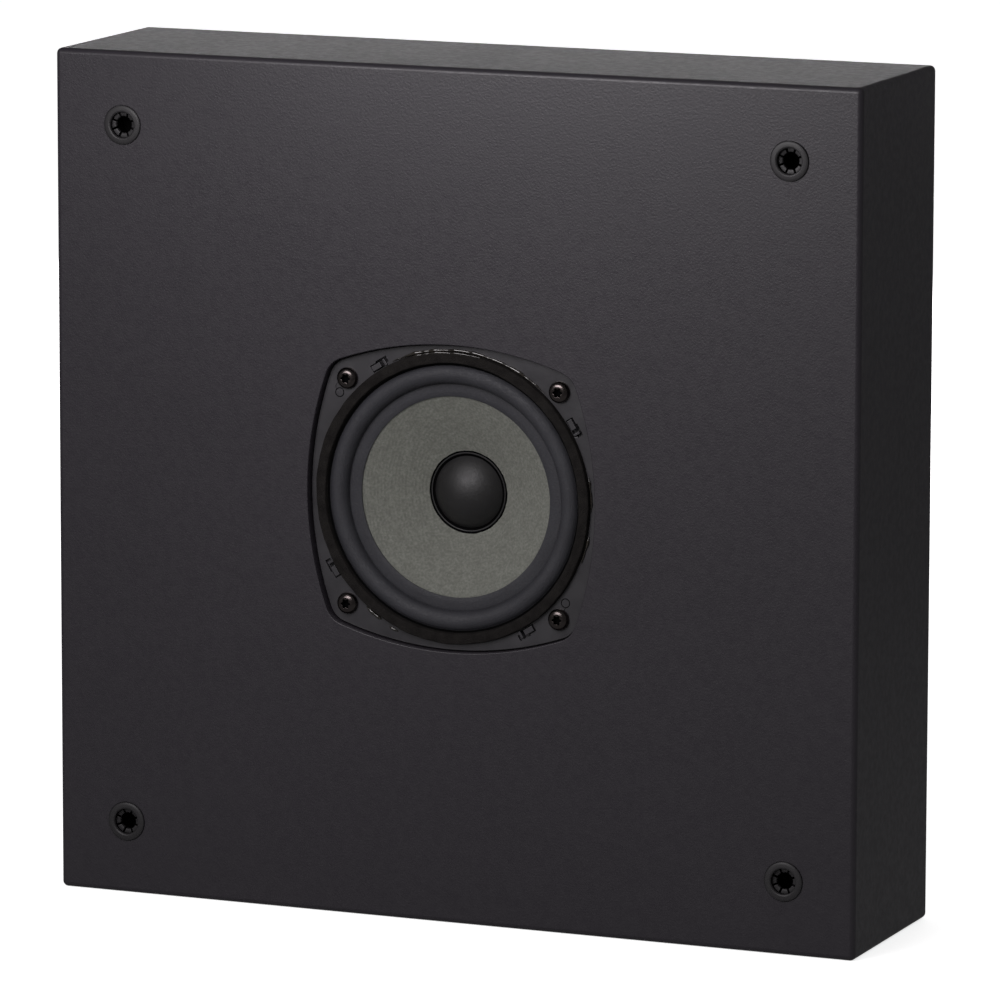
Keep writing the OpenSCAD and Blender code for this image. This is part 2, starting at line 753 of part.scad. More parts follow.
// Pan head screw with a six-sided socket
module driver_screws() {
    dome = 5.2;
    color("#4a4440") from_front() four(screw_pos, screw_pos) difference() {
        union() {
            intersection() {
                at(flange_z) cylinder(r = screw_head_r, h = screw_head_h);
                at(flange_z + screw_head_h - dome) sphere(r = dome);
            }
            at(flange_z - screw_len) cylinder(r = screw_r, h = screw_len + over);
        }
        at(flange_z + screw_head_h - 1.4) cylinder(r = 1.55, h = 2, $fn = 6);
    }
}

module terminal_cup() {
    color("#1e1e20") from_back() translate([0, cup_z]) difference() {
        union() {
            at(-sink - cup_flange_t) linear_extrude(cup_flange_t)
                rounded(cup_flange_wd, cup_flange_ht, cup_corner_r);
            at(cup_floor - cup_wall) linear_extrude(cup_depth + cup_wall)
                rounded(cup_out_w, cup_out_h, cup_corner_r);
        }
        difference() {
            at(cup_floor) linear_extrude(cup_depth + over)
                rounded(cup_w, cup_h, cup_corner_r - cup_wall / 2);
            for (s = [-1, 1]) translate([s * post_x, 0, cup_floor - over])
                ring(post_collar_r + 0.3, post_collar_r + 1.3, over + 1.2);
        }
        for (s = [-1, 1]) translate([s * post_x, 0, cup_floor - cup_wall - over])
            cylinder(r = post_thread_r + fit, h = cup_wall + 2 * over);
        four(cup_screw_x, cup_screw_z) small_screw_hole(cup_flange_t);
    }
}

// Countersunk hole for a small screw, from the surface of what is let into the back
module small_screw_hole(t) {
    at(-sink - t - over) cylinder(r = small_r + 0.2, h = t + 2 * over);
    at(-sink - small_head_r + small_r) cylinder(r1 = small_r + fit, r2 = small_head_r + fit,
        h = small_head_r - small_r);
}

// Countersunk small screw with a six-sided socket
module small_screw() {
    head_h = small_head_r - small_r;
    difference() {
        union() {
            at(-sink - head_h) cylinder(r1 = small_r, r2 = small_head_r, h = head_h);
            at(-sink - small_len + 0.5) cylinder(r = small_r, h = small_len - 0.5 - head_h + 0.1);
        }
        at(-sink - 1) cylinder(r = 1.1, h = 2, $fn = 6);
    }
}

module cup_gasket() {
    color("#242120") from_back() translate([0, cup_z, -cup_rebate]) difference() {
        linear_extrude(cup_seal_t) rounded(cup_flange_wd - 1, cup_flange_ht - 1, cup_corner_r);
        at(-over) linear_extrude(cup_seal_t + 2 * over)
            rounded(cup_out_w + 2 * cup_gap, cup_out_h + 2 * cup_gap, cup_corner_r + cup_gap);
        four(cup_screw_x, cup_screw_z) at(-over) cylinder(r = small_r + 0.4, h = cup_seal_t + 2 * over);
    }
}

module cup_screws() {
    color("#3c3a38") from_back() translate([0, cup_z]) four(cup_screw_x, cup_screw_z) small_screw();
}

// Turned post: collar on the cup's floor, shaft with a cross hole, head, and threaded end
module terminal_post(s) {
    color("#d2b25a") from_back() translate([s * post_x, cup_z]) difference() {
        union() {
            at(cup_floor) cylinder(r = post_collar_r, h = post_collar_h);
            at(cup_floor) cylinder(r = post_r, h = post_h);
            at(cup_floor + post_h) cylinder(r = post_head_r, h = post_head_t);
            at(cup_floor - cup_wall - post_thread_l)
                cylinder(r = post_thread_r, h = post_thread_l + cup_wall + over);
        }
        at(shaft_hole_z) rotate([90, 0, 0]) cylinder(r = wire_hole_r, h = 4 * post_r, center = true);
    }
}

// Knob that is pressed until its hole meets the hole in the shaft
module terminal_knob(s, tint) {
    color(tint) from_back() translate([s * post_x, cup_z, knob_z]) difference() {
        cylinder(r = knob_r, h = knob_l);
        at(-over) cylinder(r = post_r + knob_fit, h = knob_l + 2 * over);
        at(-over) cylinder(r = knob_bore_r, h = knob_bore + over);
        at(knob_l - knob_recess) cylinder(r = knob_recess_r, h = knob_recess + over);
        at(shaft_hole_z + knob_travel - knob_z) rotate([90, 0, 0])
            cylinder(r = wire_hole_r, h = 4 * knob_r, center = true);
        for (i = [0 : knob_grooves - 1]) rotate(360 * (i + 0.5) / knob_grooves)
            translate([knob_r + 0.25, 0, knob_bore + 0.5]) cylinder(r = 0.65, h = knob_l);
    }
}

// Compression spring between the collar and the knob
module terminal_spring(s) {
    coil_mid = (post_r + knob_bore_r) / 2;
    low = cup_floor + post_collar_h + spring_wire_r + 0.05;
    high = knob_z + knob_bore - spring_wire_r - 0.05;
    steps = 12;
    count = spring_turns * steps;
    color("#b8babc") from_back() translate([s * post_x, cup_z])
        tube([for (i = [0 : count]) let (a = 360 * i / steps)
            [coil_mid * cos(a), coil_mid * sin(a), low + (high - low) * i / count]],
            spring_wire_r, 6);
}

module terminal_lugs() {
    color("#c9c3b0") from_back() for (s = [-1, 1]) translate([s * post_x, cup_z]) difference() {
        translate([-lug_w / 2, -lug_w / 2, cup_floor - cup_wall - lug_sheet])
            cube([lug_w, lug_l, lug_sheet]);
        at(cup_floor - cup_wall - 2 * lug_sheet) cylinder(r = post_thread_r + fit, h = 3 * lug_sheet);
    }
}

module terminal_nuts() {
    color("#a9abad") from_back() for (s = [-1, 1])
        translate([s * post_x, cup_z, cup_floor - cup_wall - lug_sheet - nut_t]) difference() {
            cylinder(r = nut_r, h = nut_t, $fn = 6);
            at(-over) cylinder(r = post_thread_r + fit, h = nut_t + 2 * over);
        }
}

// Steel plate with a keyhole that hangs on a wall screw
module hanger(s) {
    color("#b4b6b8") from_back() translate([s * hanger_x, hanger_z]) difference() {
        at(-sink - hanger_t) linear_extrude(hanger_t) rounded(hanger_w, hanger_h, 3);
        translate([0, -keyhole_l / 2, -sink - hanger_t - over])
            cylinder(r = keyhole_r, h = hanger_t + 2 * over);
        translate([-keyhole_slot / 2, -keyhole_l / 2, -sink - hanger_t - over])
            cube([keyhole_slot, keyhole_l, hanger_t + 2 * over]);
        translate([0, keyhole_l / 2, -sink - hanger_t - over])
            cylinder(r = keyhole_slot / 2, h = hanger_t + 2 * over);
        for (t = [-1, 1]) translate([0, t * hanger_screw_z]) small_screw_hole(hanger_t);
    }
}

module hanger_screws() {
    color("#3c3a38") from_back() for (s = [-1, 1], t = [-1, 1])
        translate([s * hanger_x, hanger_z + t * hanger_screw_z]) small_screw();
}

// Push-on connectors on the ends of the driver's tags
module wire_connectors() {
    color("#c9c3b0") from_front() for (s = [-1, 1]) {
        w = s > 0 ? tag_w_plus : tag_w_minus;
        difference() {
            translate([s * tag_x - w / 2 - connector_wall, tag_y - tag_t / 2 - connector_wall,
                tag_z - connector_wall])
                cube([w + 2 * connector_wall, tag_t + 2 * connector_wall, connector_l]);
            translate([s * tag_x - w / 2 - fit, tag_y - tag_t / 2 - fit, tag_z - fit])
                cube([w + 2 * fit, tag_t + 2 * fit, connector_l]);
        }
    }
}

// Inner wire from a terminal's lug to the driver: the points of the loop of slack are counted
// outwards, away from the wall and upwards from the lug's end
module inner_wire(s) {
    lug_end = cup_z - lug_w / 2 + lug_l;
    lug_back = -cup_floor + cup_wall + lug_sheet;
    tag_back = cab_d + tag_z - connector_wall;
    loop = [[3, 5, 1], [16, 9, -3], [29, 11, -14], [40, 12, -8], [39, 11, 6], [25, 8, 14],
        [8, 4.5, 17]];
    straight = 1.8;
    bend = [3, 7, 5.5];
    tube(smooth(concat([[s * post_x, -lug_back - wire_r, lug_end - 3]],
        [for (p = loop) [s * (post_x + p.x), -lug_back - p.y, lug_end + p.z]],
        [[s * (tag_x + bend.x), -tag_back + bend.y, tag_y - bend.z]],
        [for (i = [2 : -1 : 0]) [s * tag_x, -tag_back + straight * i + fit, tag_y]]), 4), wire_r);
}

module wire_plus() {
    color("#a02020") inner_wire(1);
}

module wire_minus() {
    color("#202020") inner_wire(-1);
}

// Sheet of fibre behind the driver, open round the magnet, the cup and the hangers' pockets
module damping_wadding() {
    edge_room = 3;
    magnet_room = 9;
    w = cab_w - 2 * wall_t - 2 * edge_room;
    h = cab_h - 2 * wall_t - 2 * edge_room;
    color("#d8d6cc") from_back() at(-back_t - 0.3 - wadding_t) difference() {
        linear_extrude(wadding_t) rounded(w, h, 12);
        at(-over) cylinder(r = magnet_r + magnet_room, h = wadding_t + 2 * over);
        translate([-w / 2 - over, -h / 2 - over, -over])
            cube([w + 2 * over, h / 2 + over + wadding_low, wadding_t + 2 * over]);
    }
}

front_baffle();
flat_panel(1);  // top_panel
flat_panel(-1);  // bottom_panel
upright_panel(-1);  // left_panel
upright_panel(1);  // right_panel
back_panel();
grille_socket(-1, 1);  // grille_socket_tl
grille_socket(1, 1);  // grille_socket_tr
grille_socket(-1, -1);  // grille_socket_bl
grille_socket(1, -1);  // grille_socket_br
seal_gasket();
basket();
front_gasket();
surround();
cone();
dust_cap();
coil_former();
voice_coil();
spider();
top_plate();
magnet();
yoke();
tag_board();
driver_tags();
flexible_leads();
driver_screws();
terminal_cup();
cup_gasket();
cup_screws();
terminal_post(-1);  // terminal_post_plus
terminal_post(1);  // terminal_post_minus
terminal_knob(-1, "#9c1c1c");  // terminal_knob_plus
terminal_knob(1, "#1a1a1a");  // terminal_knob_minus
terminal_spring(-1);  // terminal_spring_plus
terminal_spring(1);  // terminal_spring_minus
terminal_lugs();
terminal_nuts();
hanger(1);  // hanger_left
hanger(-1);  // hanger_right
hanger_screws();
wire_plus();
wire_minus();
wire_connectors();
damping_wadding();
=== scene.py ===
"""Looks of the on-wall speaker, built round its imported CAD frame.

Lengths are in millimetres until a point is placed, and in metres from there on.
"""
import json
import math

import bmesh
import bpy
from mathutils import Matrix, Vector


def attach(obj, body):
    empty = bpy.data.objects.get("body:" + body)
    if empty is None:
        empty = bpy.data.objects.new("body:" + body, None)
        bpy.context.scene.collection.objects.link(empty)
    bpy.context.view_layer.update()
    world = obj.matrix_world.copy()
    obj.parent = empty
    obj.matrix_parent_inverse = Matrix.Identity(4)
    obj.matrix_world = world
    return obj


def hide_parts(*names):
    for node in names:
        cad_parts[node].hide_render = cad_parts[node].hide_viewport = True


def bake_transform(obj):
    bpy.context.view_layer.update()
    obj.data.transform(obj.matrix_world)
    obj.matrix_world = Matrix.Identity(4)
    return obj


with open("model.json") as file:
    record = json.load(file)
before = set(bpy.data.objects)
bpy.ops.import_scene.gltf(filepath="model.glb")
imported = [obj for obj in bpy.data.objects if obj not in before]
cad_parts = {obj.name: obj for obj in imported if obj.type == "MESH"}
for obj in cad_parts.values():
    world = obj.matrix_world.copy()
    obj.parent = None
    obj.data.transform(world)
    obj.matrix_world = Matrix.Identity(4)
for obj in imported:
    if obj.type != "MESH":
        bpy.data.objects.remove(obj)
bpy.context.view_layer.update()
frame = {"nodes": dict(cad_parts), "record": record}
mm = 0.001

cabinet_side, cabinet_depth, cabinet_edge = 305, 76, 2
wall, baffle, back, rebate = 12, 15, 12, 6
socket_place, driver_screw_place = 126.2, 40.35
recess_half, recess_corner, recess_ease, recess_deep = 54.75, 46, 9, 5.5
flange_front = -3
pocket_place, pocket_turns, pocket_deep = 53.6, (32, 122, 212, 302), 1.9
cone_neck, cone_edge, cone_deep, cone_rise = 12.95, 36.2, -18.1, 12.6
cone_slope = cone_rise / (cone_edge - cone_neck)
spider_ledge, board_thick, lead_height = -25.5, 1.6, -19
cup_height, cup_floor, post_place = -85, -22.1, 9.5
weld = 2e-6
socket_places = [(x, z) for x in (-socket_place, socket_place)
                 for z in (-socket_place, socket_place)]


def front(x, up, out):
    """A place seen from the front. out is how far it stands proud of the cabinet."""
    return Vector((x, -cabinet_depth - out, up)) * mm


def behind(x, up, out):
    """A place seen from behind. out is how far it stands past the face against the wall."""
    return Vector((-x, out, up)) * mm


def on_cone(radius):
    """Height of the cone's front face at a radius."""
    return cone_deep + cone_slope * (radius - cone_neck)


# Work on meshes
def work_on(piece):
    bpy.ops.object.select_all(action="DESELECT")
    piece.select_set(True)
    bpy.context.view_layer.objects.active = piece


def edit(piece, mode="FACE"):
    work_on(piece)
    bpy.ops.object.mode_set(mode="EDIT")
    bpy.ops.mesh.select_mode(type=mode)
    bpy.ops.mesh.select_all(action="DESELECT")


def done():
    bpy.ops.object.mode_set(mode="OBJECT")


def pick(kind, test):
    """Selects the points, edges or faces that pass the test, in edit mode."""
    mesh = bmesh.from_edit_mesh(bpy.context.edit_object.data)
    for part in getattr(mesh, kind):
        part.select_set(bool(test(part)))
    mesh.select_flush_mode()
    bmesh.update_edit_mesh(bpy.context.edit_object.data)


def middle(part):
    return sum((v.co for v in part.verts), Vector()) / len(part.verts) / mm


def named(name):
    piece = bpy.context.object
    piece.name = piece.data.name = name
    return piece


def settle(piece):
    work_on(piece)
    bpy.ops.object.transform_apply(location=True, rotation=True, scale=True)


def modify(piece, kind, **settings):
    work_on(piece)
    bpy.ops.object.modifier_add(type=kind)
    modifier = piece.modifiers[-1]
    for key, value in settings.items():
        setattr(modifier, key, value)
    bpy.ops.object.modifier_apply(modifier=modifier.name)


def smooth(piece, angle=35, weighted=False):
    work_on(piece)
    bpy.ops.object.shade_smooth_by_angle(angle=math.radians(angle))
    if weighted:
        modify(piece, "WEIGHTED_NORMAL", keep_sharp=True)


def clean(piece):
    """Merges doubled points and turns the faces outwards."""
    edit(piece)
    bpy.ops.mesh.select_all(action="SELECT")
    bpy.ops.mesh.remove_doubles(threshold=weld)
    bpy.ops.mesh.normals_make_consistent(inside=False)
    done()


def cut(piece, *cutters):
    for cutter in cutters:
        modify(piece, "BOOLEAN", operation="DIFFERENCE", solver="EXACT", object=cutter)
        bpy.data.objects.remove(cutter)


def draw(name, points, closed=False):
    """A line through points in metres, drawn by extruding one point. It stays in edit mode."""
    bpy.ops.object.select_all(action="DESELECT")
    bpy.ops.mesh.primitive_plane_add(size=mm, location=points[0])
    piece = named(name)
    settle(piece)
    edit(piece, "VERT")
    bpy.ops.mesh.select_all(action="SELECT")
    bpy.ops.mesh.merge(type="CENTER")
    for a, b in zip(points, points[1:]):
        bpy.ops.mesh.extrude_region_move(TRANSFORM_OT_translate={"value": b - a})
    if closed:
        bpy.ops.mesh.select_all(action="SELECT")
        bpy.ops.mesh.edge_face_add()
    return piece


def turned(name, section, steps, centre=(0, 0)):
    """A closed section, as (radius, height), turned round an axis square to the front."""
    points = [front(centre[0] + r, centre[1], h) for r, h in section]
    piece = draw(name, points + [points[0]])
    bpy.ops.mesh.select_all(action="SELECT")
    bpy.ops.mesh.spin(steps=steps, angle=2 * math.pi, center=front(*centre, 0), axis=(0, 1, 0))
    done()
    clean(piece)
    return piece


def slab(name, outline, low, high):
    """A flat outline pulled up from one height to another."""
    piece = draw(name, [front(x, y, low) for x, y in outline], closed=True)
    bpy.ops.mesh.select_all(action="SELECT")
    rise = front(0, 0, high) - front(0, 0, low)
    bpy.ops.mesh.extrude_region_move(TRANSFORM_OT_translate={"value": rise})
    done()
    clean(piece)
    return piece


def drum(name, radius, low, high, centre=(0, 0), sides=64):
    turns = [2 * math.pi * i / sides for i in range(sides)]
    outline = [(centre[0] + radius * math.cos(a), centre[1] + radius * math.sin(a))
               for a in turns]
    return slab(name, outline, low, high)


def turned_by(points, angle):
    """Flat points turned about the driver's middle."""
    c, s = math.cos(angle), math.sin(angle)
    return [(x * c - y * s, x * s + y * c) for x, y in points]


def eased(corners, steps=3):
    """A section whose corners (radius, height, ease) are rounded by their ease."""
    points = []
    for i, (r, h, ease) in enumerate(corners):
        here = Vector((r, h))
        if not ease:
            points.append(here)
            continue
        before, after = (Vector(corners[k % len(corners)][:2]) for k in (i - 1, i + 1))
        a = here + (before - here).normalized() * ease
        b = here + (after - here).normalized() * ease
        points += [a * (1 - t) ** 2 + here * 2 * t * (1 - t) + b * t * t
                   for t in (k / steps for k in range(steps + 1))]
    return [tuple(p) for p in points]


def arc(centre, radius, start, end, steps):
    angles = (math.radians(start + (end - start) * i / steps) for i in range(steps + 1))
    return [(centre[0] + radius * math.cos(a), centre[1] + radius * math.sin(a)) for a in angles]


def bulged_square(grow, side_steps=24, corner_steps=10):
    """Outline of the recess and of the flange: bulging sides that run into round corners."""
    away = (2 * recess_corner ** 2 - recess_half ** 2) / (2 * (recess_half - recess_corner))
    big = recess_half + away
    corner = (math.sqrt(2 * (big - recess_ease) ** 2 - away ** 2) - away) / 2
    lean = math.atan2(corner, corner + away)
    points = []
    for quarter in range(4):
        side = [((big + grow) * math.cos(t) - away, (big + grow) * math.sin(t))
                for t in (lean * (2 * i / side_steps - 1) for i in range(side_steps + 1))]
        ease, sweep = recess_ease + grow, math.pi / 2 - 2 * lean
        bend = [(corner + ease * math.cos(t), corner + ease * math.sin(t))
                for t in (lean + sweep * i / corner_steps for i in range(1, corner_steps))]
        c, s = ((1, 0), (0, 1), (-1, 0), (0, -1))[quarter]
        points += [(x * c - y * s, x * s + y * c) for x, y in side + bend]
    return points


def copy_of(piece, name, shift=(0, 0, 0)):
    work_on(piece)
    bpy.ops.object.duplicate()
    twin = named(name)
    for key in [k for k in twin.keys() if k.startswith("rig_")]:
        del twin[key]
    twin.parent = None
    twin.location = Vector(shift) * mm
    settle(twin)
    return twin


def joined(name, pieces):
    bpy.ops.object.select_all(action="DESELECT")
    for p in pieces:
        p.select_set(True)
    bpy.context.view_layer.objects.active = pieces[0]
    bpy.ops.object.join()
    return named(name)


def eased_copy(node, name, width):
    """A copy of a CAD node with its doubled points merged and its sharp edges eased."""
    piece = copy_of(frame["nodes"][node], name)
    edit(piece)
    bpy.ops.mesh.select_all(action="SELECT")
    bpy.ops.mesh.customdata_custom_splitnormals_clear()
    bpy.ops.mesh.remove_doubles(threshold=weld)
    bpy.ops.mesh.dissolve_limited(angle_limit=math.radians(0.6))
    bpy.ops.mesh.normals_make_consistent(inside=False)
    done()
    modify(piece, "BEVEL", width=width * mm, segments=2, limit_method="ANGLE",
           angle_limit=math.radians(40), use_clamp_overlap=True)
    smooth(piece, 40, weighted=True)
    return piece


def round_sharp(piece, width, angle, segments=2):
    modify(piece, "BEVEL", width=width * mm, segments=segments, limit_method="ANGLE",
           angle_limit=math.radians(angle))


def placed(piece, body, slot, *nodes, finish=None):
    """Gives a finished piece the material of its finish, or else of its slot, puts it in its body
    and hides the CAD nodes it stands for.
    """
    piece.data.materials.clear()
    piece.data.materials.append(FINISH[finish or slot])
    if body:
        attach(piece, body)
    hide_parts(*nodes)


def paint_shade_where(piece, test):
    """Faces whose middle (x, up, out) passes the test get the near-black finish as well, as
    painted shade in bores, grooves and gaps.
    """
    piece.data.materials.append(FINISH["painted_shade_black"])
    for face in piece.data.polygons:
        x, y, z = face.center / mm
        face.material_index = int(test(x, z, -y - cabinet_depth))


# Finishes
def math_node(tree, operation, *values):
    made = tree.nodes.new("ShaderNodeMath")
    made.operation = operation
    for socket, value in zip(made.inputs, values):
        if isinstance(value, (int, float)):
            socket.default_value = value
        else:
            tree.links.new(value, socket)
    return made.outputs[0]


def map_range(tree, value, from_low, from_high, low, high):
    made = tree.nodes.new("ShaderNodeMapRange")
    for key, number in (("From Min", from_low), ("From Max", from_high),
                        ("To Min", low), ("To Max", high)):
        made.inputs[key].default_value = number
    tree.links.new(value, made.inputs["Value"])
    return made.outputs["Result"]


class Finish:
    """A material on Object coordinates, built up from its shader by layers."""

    def __init__(self, name, colour, roughness, metallic=0.0, **sockets):
        self.material = bpy.data.materials.new(name)
        self.material.use_nodes = True
        self.tree = self.material.node_tree
        self.shader = self.tree.nodes["Principled BSDF"]
        self.shader.inputs["Base Color"].default_value = (*colour, 1)
        self.shader.inputs["Roughness"].default_value = roughness
        self.shader.inputs["Metallic"].default_value = metallic
        for key, value in sockets.items():
            self.shader.inputs[key.replace("_", " ")].default_value = value
        self.place = self.node("ShaderNodeTexCoord").outputs["Object"]
        self.normal = None
        self.colour = None

    def node(self, kind, **settings):
        made = self.tree.nodes.new(kind)
        for key, value in settings.items():
            setattr(made, key, value)
        return made

    def link(self, a, b):
        self.tree.links.new(a, b)

    def noise(self, size, detail=2.0, rough=0.5, stretch=None):
        """Noise whose features are about size millimetres, stretched along the axes if asked."""
        made = self.node("ShaderNodeTexNoise")
        made.inputs["Scale"].default_value = 0.6 / (size * mm)
        made.inputs["Detail"].default_value = detail
        made.inputs["Roughness"].default_value = rough
        where = self.place
        if stretch:
            mapping = self.node("ShaderNodeMapping")
            mapping.inputs["Scale"].default_value = stretch
            self.link(where, mapping.inputs["Vector"])
            where = mapping.outputs["Vector"]
        self.link(where, made.inputs["Vector"])
        return made.outputs["Fac"]

    def ramp(self, value, low, high, from_low=0.35, from_high=0.65):
        return map_range(self.tree, value, from_low, from_high, low, high)

    def bump(self, height, strength, depth):
        """Raises the surface by depth millimetres where height is 1."""
        made = self.node("ShaderNodeBump")
        made.inputs["Strength"].default_value = strength
        made.inputs["Distance"].default_value = depth * mm
        self.link(height, made.inputs["Height"])
        if self.normal:
            self.link(self.normal, made.inputs["Normal"])
        self.normal = made.outputs["Normal"]
        self.link(self.normal, self.shader.inputs["Normal"])
        return self

    def rough(self, value, low, high):
        self.link(self.ramp(value, low, high), self.shader.inputs["Roughness"])
        return self

    def tint(self, value, colour, share=1.0, low=0.35, high=0.65):
        """Mixes another colour in where value is high."""
        mix = self.node("ShaderNodeMix", data_type="RGBA")
        mix.inputs[6].default_value = self.shader.inputs["Base Color"].default_value[:]
        mix.inputs[7].default_value = (*colour, 1)
        if self.colour:
            self.link(self.colour, mix.inputs[6])
        self.link(self.ramp(value, 0, share, low, high), mix.inputs[0])
        self.colour = mix.outputs[2]
        self.link(self.colour, self.shader.inputs["Base Color"])
        return self

    def math(self, operation, *values):
        return math_node(self.tree, operation, *values)

    def axes(self):
        split = self.node("ShaderNodeSeparateXYZ")
        self.link(self.place, split.inputs[0])
        return split.outputs[0], split.outputs[1], split.outputs[2]


def cabinet_paint():
    f = Finish("cabinet_paint", (0.0185, 0.0158, 0.0205), 0.42, Specular_IOR_Level=0.5)
    f.tint(f.noise(90, 3), (0.0205, 0.0175, 0.0225))
    f.rough(f.noise(1.4, 3), 0.38, 0.46)
    f.bump(f.noise(0.5, 2, 0.7), 1.0, 0.075)
    f.bump(f.noise(0.3, 2, 0.6), 0.8, 0.03)
    f.bump(f.noise(14, 2), 0.3, 0.03)
    return f.material


def back_paint():
    f = Finish("back_paint", (0.014, 0.0135, 0.0145), 0.7, Specular_IOR_Level=0.35)
    f.tint(f.noise(25, 4), (0.019, 0.0185, 0.0195))
    f.rough(f.noise(3, 3), 0.62, 0.78)
    f.bump(f.noise(1.3, 4, 0.65), 0.45, 0.05)
    f.bump(f.noise(0.3, 2), 0.4, 0.015)
    return f.material


def moulded(name, colour, low, high, grain, depth, specular=0.5, coat=0.0, wave=0.006,
            patches=1.25):
    """Moulded plastic: a fine even texture over slow waves, with lighter patches."""
    f = Finish(name, colour, (low + high) / 2, Specular_IOR_Level=specular, Coat_Weight=coat)
    f.tint(f.noise(18, 2), tuple(c * patches for c in colour))
    f.rough(f.noise(4, 3), low, high)
    f.bump(f.noise(grain, 2, 0.6), 0.4, depth)
    f.bump(f.noise(9, 1), 1.0, wave)
    return f.material


def foam():
    f = Finish("gasket_foam", (0.0075, 0.0066, 0.0064), 0.95, Specular_IOR_Level=0.1)
    f.tint(f.noise(2.5, 3), (0.0125, 0.0112, 0.0105))
    cells = f.node("ShaderNodeTexVoronoi")
    cells.inputs["Scale"].default_value = 1 / (0.45 * mm)
    f.link(f.place, cells.inputs["Vector"])
    # Painted shade: the pores, which the bump below sinks, are tinted darker.
    f.tint(cells.outputs["Distance"], (0.005, 0.0045, 0.004), 0.6, 0.45, 0.1)
    f.bump(cells.outputs["Distance"], 1.0, 0.2)
    f.bump(f.noise(1.2, 3, 0.7), 0.8, 0.25)
    return f.material


def surround_rubber():
    f = Finish("surround_rubber", (0.0195, 0.0193, 0.0240), 0.58, Specular_IOR_Level=0.45)
    f.tint(f.noise(6, 3), (0.0235, 0.0235, 0.0285))
    f.rough(f.noise(0.5, 2), 0.52, 0.72)
    f.bump(f.noise(0.45, 3, 0.85), 1.0, 0.24)
    f.bump(f.noise(5, 2), 0.25, 0.05)
    return f.material


def cone_fibre():
    """Woven cloth pressed into a cone: two sets of threads at 45 degrees, in olive grey."""
    f = Finish("cone_fibre", (0.198, 0.202, 0.178), 0.85, Specular_IOR_Level=0.22)
    x, _, z = f.axes()
    way = 2 * math.pi / (0.62 * mm) * 0.7071
    one = f.math("SINE", f.math("MULTIPLY", f.math("ADD", x, z), way))
    other = f.math("SINE", f.math("MULTIPLY", f.math("SUBTRACT", x, z), way))
    weave = f.math("MULTIPLY", one, other)
    raised = f.math("ADD", f.math("MULTIPLY", weave, 0.5), 0.5)
    f.tint(raised, (0.100, 0.102, 0.089), 0.85, 0.1, 0.9)
    f.tint(f.noise(2.2, 3, 0.6), (0.198, 0.203, 0.180), 0.6)
    f.tint(f.noise(0.5, 2), (0.094, 0.096, 0.084), 0.6)
    f.bump(weave, 0.9, 0.12)
    f.bump(f.noise(0.45, 3, 0.75), 1.0, 0.15)
    return f.material


def cap_coat():
    f = Finish("dust_cap_coat", (0.0098, 0.0094, 0.0098), 0.5, Specular_IOR_Level=0.5)
    f.tint(f.noise(5, 3), (0.0128, 0.0122, 0.0126))
    f.rough(f.noise(1.1, 3), 0.42, 0.52)
    f.bump(f.noise(0.4, 3, 0.8), 1.0, 0.11)
    return f.material


def metal(name, colour, low, high, size=0.6, stretch=None, depth=0.01):
    """Bare or plated metal: roughness and height vary along the drawing or rolling lines."""
    f = Finish(name, colour, (low + high) / 2, metallic=1.0)
    lines = f.noise(size, 4, 0.6, stretch)
    f.tint(f.noise(size * 9, 3), tuple(c * 0.82 for c in colour), 0.8)
    f.rough(lines, low, high)
    f.bump(lines, 0.35, depth)
    return f.material


def winding(name, colour, pitch):
    """Turns of lacquered wire, one pitch apart along Y, painted darker between the turns as shade.
    """
    f = Finish(name, colour, 0.3, metallic=1.0, Coat_Weight=0.5)
    _, y, _ = f.axes()
    turns = f.math("ABSOLUTE", f.math("SINE", f.math("MULTIPLY", y, math.pi / (pitch * mm))))
    # Painted shade: darker between the turns, where the bump sinks.
    f.tint(turns, tuple(c * 0.3 for c in colour), 0.8, 0.35, 0.05)
    f.bump(turns, 0.8, pitch / 2)
    return f.material


def braid(name, colour, pitch):
    f = Finish(name, colour, 0.4, metallic=0.8)
    x, y, z = f.axes()
    way = 2 * math.pi / (pitch * mm)
    one = f.math("SINE", f.math("MULTIPLY", f.math("ADD", f.math("ADD", x, y), z), way))
    back_way = f.math("ADD", f.math("SUBTRACT", x, y), z)
    other = f.math("SINE", f.math("MULTIPLY", back_way, way))
    weave = f.math("MULTIPLY", one, other)
    # Painted shade: darker in the low places of the weave, where the bump sinks.
    f.tint(weave, tuple(c * 0.4 for c in colour), 0.7, 0.0, -0.8)
    f.bump(weave, 0.7, 0.06)
    return f.material


def cloth(name, colour, thread):
    """Woven cotton, stiffened with resin."""
    f = Finish(name, colour, 0.9, Specular_IOR_Level=0.3, Coat_Weight=0.1, Coat_Roughness=0.4)
    x, _, z = f.axes()
    way = 2 * math.pi / (thread * mm)
    weave = f.math("MULTIPLY", f.math("SINE", f.math("MULTIPLY", x, way)),
                   f.math("SINE", f.math("MULTIPLY", z, way)))
    # Painted shade: darker in the low places between the threads, where the bump sinks.
    f.tint(weave, tuple(c * 0.55 for c in colour), 0.6, 0.0, -0.8)
    f.tint(f.noise(6, 3), tuple(c * 0.8 for c in colour), 0.5)
    f.bump(weave, 0.6, 0.08)
    return f.material


def fibres():
    f = Finish("wadding_fibre", (0.72, 0.71, 0.67), 1.0, Specular_IOR_Level=0.1,
               Sheen_Weight=0.4)
    f.tint(f.noise(2.0, 4, 0.7, (1, 0.4, 3)), (0.5, 0.49, 0.46), 0.6)
    f.bump(f.noise(0.8, 4, 0.8, (4, 1, 1)), 0.8, 0.4)
    return f.material


def board():
    f = Finish("tag_board_resin", (0.19, 0.105, 0.05), 0.5, Coat_Weight=0.2)
    f.tint(f.noise(1.2, 4, 0.6, (1, 1, 5)), (0.12, 0.062, 0.03), 0.8)
    f.bump(f.noise(0.4, 3), 0.4, 0.02)
    return f.material


